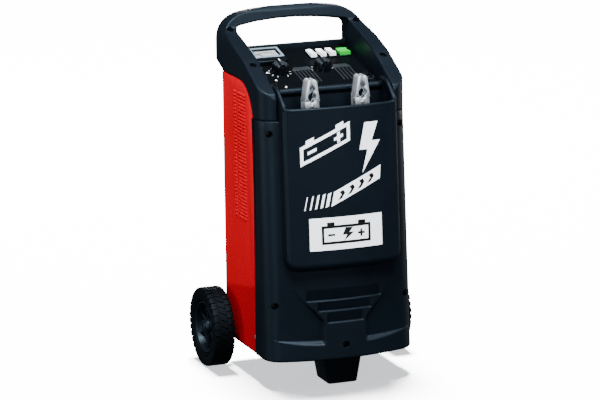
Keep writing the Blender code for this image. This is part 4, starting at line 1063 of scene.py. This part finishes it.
def meter_marks():
    """Arc of the scale with 19 strokes, every third one longer."""
    low, high, last = 0.0045, 0.00475, 18

    def spot(radius, i):
        a = radians(48 + 84 * i / last)
        return radius * cos(a), NEEDLE_PIVOT + radius * sin(a)

    marks = []
    for i in range(last + 1):
        inner, width = (0.0225, 0.0005) if i % 3 else (0.021, 0.0008)
        marks.append(rod("tick", spot(inner, i), spot(METER_ARC_R, i), width, low, high))
    for i in range(last):
        marks.append(rod("scale_line", spot(METER_ARC_R, i), spot(METER_ARC_R, i + 1), 0.0004, low, high))
    return together("meter_marks", marks)


def meter_needle():
    blade = [(-0.0006, -0.003), (0.0006, -0.003), (0.0005, 0.02), (0.00012, 0.0265), (-0.00012, 0.0265),
             (-0.0005, 0.02)]
    hub = cylinder("needle_hub", 0.0018, 0.0052, 0.0066, 20, 0.0003)
    needle = together("needle", [sweep("blade", blade, "Z", 0.0055, 0.006), hub])
    slope = Vector((0, cos(PANEL_TILT), sin(PANEL_TILT))) * NEEDLE_PIVOT
    spot = Vector((AMMETER[0], AMMETER[1], panel_z(AMMETER[1]))) + slope
    moved(needle, Matrix.Translation(spot) @ Matrix.Rotation(PANEL_TILT, 4, "X")
          @ Matrix.Rotation(NEEDLE_REST, 4, "Z"))
    piece(needle, "ink", "meter_needle", ["ammeter_needle"])


def ammeter():
    """Square meter: case with a framed window, scale card, needle and zero screw."""
    case = plate("meter_body", rounded(0.06, 0.06, 0.0035), 0.0003, 0.0094, 0.0012)
    window = shifted(plate("well", rounded(0.052, 0.037, 0.0015), 0.0032, 0.02), 0, METER_UP, 0)
    boolean(case, [window])
    barrel = cylinder("barrel", 0.0222, -0.012, 0.002, 48)
    case = on_panel(together("meter_body", [case, barrel]), *AMMETER)
    piece(case, "gloss", stands_for=["ammeter_case"])
    ring = plate("meter_frame", rounded(0.057, 0.0425, 0.003), 0.0088, 0.0099, 0.0005)
    boolean(ring, [plate("hole", rounded(0.047, 0.0325, 0.0015), 0.0, 0.02)])
    piece(on_panel(shifted(ring, 0, METER_UP, 0), *AMMETER), "trim")
    card = plate("meter_card", rounded(0.044, 0.029, 0.0008), 0.004, 0.0046, 0.0001)
    card = on_panel(shifted(card, 0, METER_UP, 0), *AMMETER)
    piece(card, "print", stands_for=["ammeter_scale"], slot="meter_card")
    piece(on_panel(meter_marks(), *AMMETER), "ink")
    lens = plate("meter_lens", rounded(0.0515, 0.0365, 0.0013), 0.0078, 0.0087, 0.0002)
    piece(on_panel(shifted(lens, 0, METER_UP, 0), *AMMETER), "window", stands_for=["ammeter_lens"])
    meter_needle()
    zero = cylinder("meter_zero_screw", 0.0028, 0.0092, 0.01, 24, 0.0003)
    boolean(zero, [box("slot", (-0.0022, -0.0003, 0.0096), (0.0022, 0.0003, 0.012))])
    piece(on_panel(shifted(zero, 0, -0.0205, 0), *AMMETER), "screw", slot="panel_plastic")


def rocker(name, x, y, width, long, colour):
    """Rocker with a hollow top and rounded ends, in a rounded bezel."""
    half, wide = long / 2 - 0.0012, width / 2 - 0.0008
    rows = []
    steps = 14
    for i in range(steps + 1):
        t = -1 + 2 * i / steps
        v = t * (half - 0.0006)
        dip = 0.0034 + 0.0016 * abs(t) ** 1.6
        row = []
        for k in range(9):
            s = -1 + k / 4
            crown = 0.0005 * s ** 4 + 0.0007 * max(0.0, abs(t) - 0.9) * 10
            row.append((s * (wide - 0.0002), v, dip - crown))
        row += [(wide, v, 0.001), (wide, v, -0.0048), (-wide, v, -0.0048), (-wide, v, 0.001)]
        rows.append(row)
    made = on_panel(loft(f"{name}_rocker_cap", rows), x, y, 0.0015, -ROCKER_TILT)
    piece(made, colour, f"{name}_switch", [f"{name}_rocker"], 50)
    wide, half = width / 2 + 0.0005, long / 2 + 0.001
    bezel = plate(f"{name}_bezel", rounded(width + 0.0048, long + 0.0064, 0.0016), 0.0003, 0.0022, 0.0008)
    house = box("house", (-wide - 0.0008, -half - 0.0008, -0.018), (wide + 0.0008, half + 0.0008, 0.0005))
    boolean(bezel, [box("well", (-wide, -half, -0.02), (wide, half, 0.01))])
    boolean(house, [box("hollow", (-wide, -half, -0.012), (wide, half, 0.01))])
    made = on_panel(together(f"{name}_bezel", [bezel, house]), x, y)
    piece(made, "gloss", stands_for=[f"{name}_switch_body"])


def knob(name, x, y):
    """Fluted knob with a raised bar grip, a top painted grey as the highlight of its lit face, and a white
    pointer line.
    """
    radius, tall, flutes = 0.016, 0.017, 10
    dial = f"{name}_dial"
    rings = []
    levels = ((0.0006, 1.0), (0.003, 1.0), (tall - 0.0022, 0.93), (tall - 0.0008, 0.9), (tall, 0.84))
    for z, share in levels:
        ring = []
        for k in range(120):
            a = 2 * pi * k / 120
            groove = 0.0016 * max(0.0, cos(flutes * a)) ** 3 if z > 0.002 else 0.0
            ring.append(((radius * share - groove) * cos(a), (radius * share - groove) * sin(a), z))
        rings.append(ring)
    skirt = loft("skirt", rings)
    bar = bevel(box("bar", (-0.0036, -0.0142, tall - 0.004), (0.0036, 0.0142, tall + 0.004)), 0.0009, 3)
    shaft = cylinder("shaft", 0.003, -0.009, 0.002, 24)
    made = together(f"{name}_knob_moulding", [skirt, bar, shaft])
    piece(on_panel(made, x, y), "gloss", dial, [f"{name}_knob"])
    # grey disc and plate on the knob's top: painted highlight of its lit top face
    disc = cylinder(f"{name}_knob_disc", 0.0122, tall - 0.0002, tall + 0.0003, 48, 0.0001)
    piece(on_panel(disc, x, y), "grey", dial)
    cap = plate(f"{name}_knob_highlight_plate", rounded(0.0056, 0.0266, 0.0012), tall + 0.0038, tall + 0.0042, 0.0001)
    piece(on_panel(cap, x, y), "grey", dial)
    line = plate(f"{name}_knob_pointer", rounded(0.0012, 0.008, 0.0004), tall + 0.0041, tall + 0.0044,
                 0.0001)
    piece(on_panel(shifted(line, 0, 0.0085, 0), x, y), "print", dial, slot="panel_plastic")


def dial_marks(name, x, y, first, last, count):
    """Printed ring of marks round a knob."""
    marks = []
    for i in range(count):
        a = radians(first + (last - first) * i / (count - 1))
        near, far = ((radius * cos(a), radius * sin(a)) for radius in (0.0182, 0.0212))
        marks.append(rod("mark", near, far, 0.0007, 0.0, 0.00015))
    piece(on_panel(together(f"{name}_marks", marks), x, y), "print", slot="panel_plastic")


def ribbed_pad(name, low_x, high_x, low_y, high_y):
    """Ribs side by side, under a plain bevelled strip, in grey that paints the highlight of lit black
    plastic.
    """
    parts = []
    strip = 0.013
    long = (high_y - low_y) - strip - 0.002
    count = round((high_x - low_x) / 0.0068)
    for i in range(count):
        x = low_x + (high_x - low_x) * (i + 0.5) / count
        rib = plate("rib", rounded(0.0022, long, 0.001), 0.0, 0.0012, 0.0006)
        parts.append(shifted(rib, x, (low_y + high_y - strip) / 2 - 0.001, 0))
    middle, half = (low_x + high_x) / 2, (high_x - low_x) / 2
    outline = [(-half, -strip / 2), (half, -strip / 2), (half - 0.006, strip / 2), (-half + 0.006, strip / 2)]
    parts.append(shifted(plate("strip", outline, 0.0, 0.0012, 0.0005), middle, high_y - strip / 2, 0))
    # the grey here is painted highlight, the pads being black plastic
    piece(on_panel(together(name, parts), 0, 0), "grey")


def indicators():
    """Three small lamps in collars, one below the other."""
    for i, (x, y) in enumerate(((-0.0785, 0.03), (-0.074, -0.003), (-0.0665, -0.033))):
        lens = turned(f"indicator_{i}", [(0, 0.003), (0.0012, 0.0027), (0.002, 0.0019), (0.0022, 0.0004),
                                         (0, 0.0004)], 20)
        piece(on_panel(lens, x, y), "lamp")
        ring = turned(f"indicator_ring_{i}", [(0.0023, 0.0001), (0.0023, 0.0012), (0.0031, 0.001),
                                              (0.0034, 0.0001), (0.0023, 0.0001)], 24)
        piece(on_panel(ring, x, y), "gloss")


def breaker():
    """Thermal breaker: collar, printed ring and reset button."""
    collar = turned("breaker_collar", [(0.0079, 0.0044), (0.0092, 0.005), (0.0106, 0.0046), (0.0112, 0.0036),
                                       (0.0128, 0.0026), (0.013, 0.0003), (0.01, 0.0003),
                                       (0.01, -0.025), (0.0079, -0.025), (0.0079, 0.0044)], 48)
    piece(on_panel(collar, *BREAKER), "gloss", stands_for=["breaker_body"])
    ring = turned("breaker_ring_mark", [(0.0136, 0.0), (0.0136, 0.0006), (0.0142, 0.0009), (0.015, 0.0006),
                                        (0.015, 0.0), (0.0136, 0.0)], 48)
    piece(on_panel(ring, *BREAKER), "grey")
    button = turned("reset_button_cap", [(0, 0.0072), (0.003, 0.0074), (0.0052, 0.0079), (0.0064, 0.0076),
                                         (0.007, 0.0064), (0.007, -0.012), (0, -0.012)], 40)
    piece(on_panel(button, *BREAKER), "gloss", "reset_button", ["breaker_button"])


def panel_items():
    ammeter()
    for name, (x, y, width, long, colour) in SWITCHES.items():
        rocker(name, x, y, width, long, colour)
    for name, (x, y) in KNOBS.items():
        knob(name, x, y)
    dial_marks("timer", *KNOBS["timer"], -60, 240, 11)
    dial_marks("selector", *KNOBS["selector"], 0, 180, 6)
    ribbed_pad("left_pad", -0.03, 0.01, -0.02, 0.045)
    ribbed_pad("right_pad", 0.047, 0.083, -0.02, 0.045)
    indicators()
    breaker()


# ---------------------------------------------------------------- pictograms on the pocket
def pocket_y(x, z):
    """Y of the pocket's face."""
    reach = POCKET_HALF - POCKET_EDGE_R
    return POCKET_FACE_Y - LEAN * (POCKET_LIP - z) - POCKET_BOW * (1 - min(1.0, abs(x) / reach) ** 2)


def decal(outline, lift=0.00025):
    """Thin print on the pocket's bowed face, of an outline in X and Z."""
    made = sweep("decal", outline, "Y", -lift, 0.0006)
    bm = bmesh.new()
    bm.from_mesh(made.data)
    bmesh.ops.triangulate(bm, faces=bm.faces[:])
    low, high = min(x for x, _ in outline), max(x for x, _ in outline)
    steps = max(1, int((high - low) / 0.004))
    for i in range(1, steps):
        bmesh.ops.bisect_plane(bm, geom=bm.verts[:] + bm.edges[:] + bm.faces[:], plane_no=(1, 0, 0),
                               plane_co=(low + (high - low) * i / steps, 0, 0))
    for v in bm.verts:
        v.co.y += pocket_y(v.co.x, v.co.z)
    bm.to_mesh(made.data)
    bm.free()
    return made


def slanted(points, base):
    """Outline placed on the marks' rising base line, which crosses the middle at a height."""
    return [(x * cos(MARK_RISE), base + (z + x * sin(MARK_RISE))) for x, z in points]


def rect(x0, z0, x1, z1):
    return [(x0, z0), (x1, z0), (x1, z1), (x0, z1)]


def minus(x, z, size, width):
    return [rect(x - size / 2, z - width / 2, x + size / 2, z + width / 2)]


def plus(x, z, size, width):
    return minus(x, z, size, width) + minus(x, z, width, size)


def frame_bars(x0, z0, x1, z1, width):
    """Four bars round a rectangle."""
    low, high = z0 + width, z1 - width
    return [rect(x0, z0, x1, low), rect(x0, high, x1, z1), rect(x0, low, x0 + width, high),
            rect(x1 - width, low, x1, high)]


MARK_RISE = radians(24)
BOLT = [(0.3, 1.0), (0.86, 1.0), (0.58, 0.6), (0.94, 0.6), (0.16, -0.08), (0.4, 0.42), (0.06, 0.42)]


def printed(name, outlines, finish="print", lift=0.00025):
    piece(together(name, [decal(outline, lift) for outline in outlines]), finish)


def label():
    """White label with a battery sign."""
    printed("pocket_label", [rect(-0.0678, 0.2517, 0.0688, 0.3095)])
    dark = frame_bars(-0.046, 0.262, 0.046, 0.295, 0.0045)
    dark += [rect(-0.036, 0.295, -0.022, 0.301), rect(0.022, 0.295, 0.036, 0.301)]
    dark += minus(-0.028, 0.2785, 0.013, 0.0036) + plus(0.028, 0.2785, 0.013, 0.0036)
    dark.append([(-0.009 + 0.025 * x, 0.268 + 0.022 * z) for x, z in BOLT])
    printed("pocket_label_sign", dark, "ink", 0.0004)


def slanted_bars():
    """Five stripes that grow into a bar with four arrow heads."""
    base = 0.3405
    marks = []
    for i in range(5):
        x, foot_z = -0.083 + i * 0.0105, 0.017 - i * 0.0034
        width = 0.0018 + i * 0.0012
        marks.append(slanted([(x, foot_z), (x + width, foot_z), (x + width + 0.006, foot_z + 0.0215),
                              (x + 0.006, foot_z + 0.0215)], base))
    marks.append(slanted([(-0.029, 0.0), (0.074, 0.0), (0.076, 0.023), (-0.023, 0.023)], base))
    printed("pocket_bars", marks)
    arrows = []
    for i in range(4):
        x = -0.009 + i * 0.0205
        arrows.append(slanted([(x - 0.007, 0.0045), (x + 0.001, 0.0045), (x + 0.0085, 0.01125),
                               (x + 0.005, 0.018), (x - 0.003, 0.018), (x + 0.001, 0.01125)], base))
    printed("pocket_bar_arrows", arrows, "ink", 0.0004)


def charge_sign():
    """Lightning bolt beside a slanted battery sign."""
    signs = [[(0.0265 + x * 0.046, 0.39 + z * 0.082) for x, z in BOLT]]
    battery = frame_bars(-0.0876, 0.0, 0.013, 0.034, 0.0062)
    battery += [rect(low, 0.034, low + 0.016, 0.0405) for low in (-0.076, -0.016)]
    battery += minus(-0.064, 0.017, 0.018, 0.0054) + plus(-0.0105, 0.017, 0.018, 0.0054)
    signs += [slanted(part, 0.4376) for part in battery]
    printed("pocket_charge_sign", signs)


# ---------------------------------------------------------------- carried CAD nodes
def dress_nodes():
    """Give each CAD node that still shows its finish."""
    finishes = {
        "base_plate": "zinc", "rear_panel": "red", "mains_gland": "soft", "transformer_core": "core",
        "transformer_winding": "copper", "rectifier_heatsink": "aluminium", "rectifier_diode_left": "zinc",
        "rectifier_diode_right": "zinc", "lead_grommet": "soft", "control_panel": "plate",
        "timer_body": "gloss", "selector_body": "gloss", "axle": "zinc", "axle_clip_left": "zinc",
        "axle_clip_right": "zinc",
    }
    for node, finish in finishes.items():
        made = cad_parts[node]
        made.data.materials.clear()
        made.data.materials.append(MATERIALS[finish])


def foot():
    """Tapered foot with rounded edges."""
    low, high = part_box("front_foot")
    middle, deep = (low.y + high.y) / 2, (high.y - low.y) / 2 - 0.0006
    rings = []
    for rise, shrink in ((0.0, 0.0016), (0.0006, 0.0006), (0.002, 0.0), (high.z - 0.0002, 0.0)):
        width = 0.0275 + (high.x - 0.0275) * rise / high.z - shrink
        back = 0.0008 * (1 - rise / high.z)
        rings.append([(x, middle + y, low.z + rise) for x, y in
                      rounded(2 * width, 2 * (deep - shrink - back), 0.0045, 5)])
    piece(loft("foot_block", rings), "soft", stands_for=["front_foot"], angle=40)


# ---------------------------------------------------------------- studio
def softbox(name, place, size, power, target=(0, 0, 0.32), tint=(1, 1, 1)):
    light = bpy.data.lights.new(name, "AREA")
    light.shape = "RECTANGLE"
    light.size, light.size_y = size
    light.energy = power
    light.color = tint
    made = new_object(name, light)
    made.location = place
    made.rotation_euler = (Vector(target) - Vector(place)).to_track_quat("-Z", "Y").to_euler()
    return made


def sky():
    """White where the camera sees it, and a faint bluish light on the object."""
    world = bpy.data.worlds.new("studio")
    bpy.context.scene.world = world
    world.use_nodes = True
    nodes, links = world.node_tree.nodes, world.node_tree.links
    shown = nodes["Background"]
    shown.inputs["Color"].default_value = (1, 1, 1, 1)
    shown.inputs["Strength"].default_value = 18.0
    lit = nodes.new("ShaderNodeBackground")
    lit.inputs["Color"].default_value = (0.62, 0.82, 1.0, 1)
    lit.inputs["Strength"].default_value = 0.12
    path = nodes.new("ShaderNodeLightPath")
    either = nodes.new("ShaderNodeMixShader")
    links.new(path.outputs["Is Camera Ray"], either.inputs["Fac"])
    links.new(lit.outputs["Background"], either.inputs[1])
    links.new(shown.outputs["Background"], either.inputs[2])
    links.new(either.outputs["Shader"], nodes["World Output"].inputs["Surface"])


def white_floor():
    """Plain floor that takes the shadow and throws no light on the object."""
    floor = box("studio_floor", (-6, -5, -0.01), (6, 7, 0.0))
    made = bpy.data.materials.new("studio_floor")
    made.use_nodes = True
    shader = made.node_tree.nodes["Principled BSDF"]
    shader.inputs["Base Color"].default_value = (0.92, 0.92, 0.93, 1)
    shader.inputs["Roughness"].default_value = 0.9
    shader.inputs["Specular IOR Level"].default_value = 0.0
    shader.inputs["Emission Color"].default_value = (0.95, 0.96, 1.0, 1)
    shader.inputs["Emission Strength"].default_value = 1.0
    floor.data.materials.append(made)
    floor.visible_diffuse = False
    floor.visible_glossy = False
    floor.visible_transmission = False
    return floor


def lights(floor):
    """One light for the floor alone, the others for everything but the floor."""
    only_floor = bpy.data.collections.new("lit_floor")
    only_floor.objects.link(floor)
    all_but_floor = bpy.data.collections.new("all_but_floor")
    all_but_floor.objects.link(floor)
    all_but_floor.collection_objects[0].light_linking.link_state = "EXCLUDE"
    high_light = softbox("floor_light", (0.6, 2.6, 12.0), (3.0, 3.0), 24000, target=(0, 0, 0))
    high_light.light_linking.receiver_collection = only_floor
    for name, place, size, power, tint in (
            ("top_light", (-0.3, -1.2, 3.2), (2.4, 1.6), 600, (0.94, 0.97, 1.0)),
            ("column_light", (-2.4, -2.6, 0.9), (0.35, 1.8), 60, (0.8, 0.92, 1.0)),
            ("front_light", (0.9, -4.6, 1.6), (1.8, 1.8), 70, (1, 1, 1)),
            ("left_light", (-3.6, 0.2, 1.0), (1.4, 2.0), 85, (1, 1, 1)),
            ("right_light", (3.8, 0.8, 0.9), (1.4, 1.8), 70, (1, 1, 1)),
            ("rear_light", (1.8, 4.2, 0.7), (1.8, 1.4), 90, (1, 1, 1))):
        softbox(name, place, size, power, tint=tint).light_linking.receiver_collection = all_but_floor


def camera():
    data = bpy.data.cameras.new("camera")
    data.lens = CAMERA_LENS
    data.sensor_width = 36.0
    data.clip_end = 60
    made = new_object("camera", data)
    level = cos(CAMERA_ELEVATION)
    back = Vector((-sin(CAMERA_AZIMUTH) * level, -cos(CAMERA_AZIMUTH) * level, sin(CAMERA_ELEVATION)))
    right = Vector((cos(CAMERA_AZIMUTH), -sin(CAMERA_AZIMUTH), 0))
    up = back.cross(right)
    across = right * cos(CAMERA_ROLL) - up * sin(CAMERA_ROLL)
    upright = right * sin(CAMERA_ROLL) + up * cos(CAMERA_ROLL)
    turn = Matrix((across, upright, back)).transposed().to_4x4()
    made.matrix_world = Matrix.Translation(CAMERA_TARGET + back * CAMERA_DISTANCE) @ turn
    bpy.context.scene.camera = made


# ---------------------------------------------------------------- the whole machine
front_cover()
hoop()
screws()
for word, side in (("left", -1), ("right", 1)):
    side_panel(word, side)
    wheel(word, side)
    clamp(word)
rear_screws()
panel_items()
label()
slanted_bars()
charge_sign()
foot()
dress_nodes()
sky()
lights(white_floor())
camera()
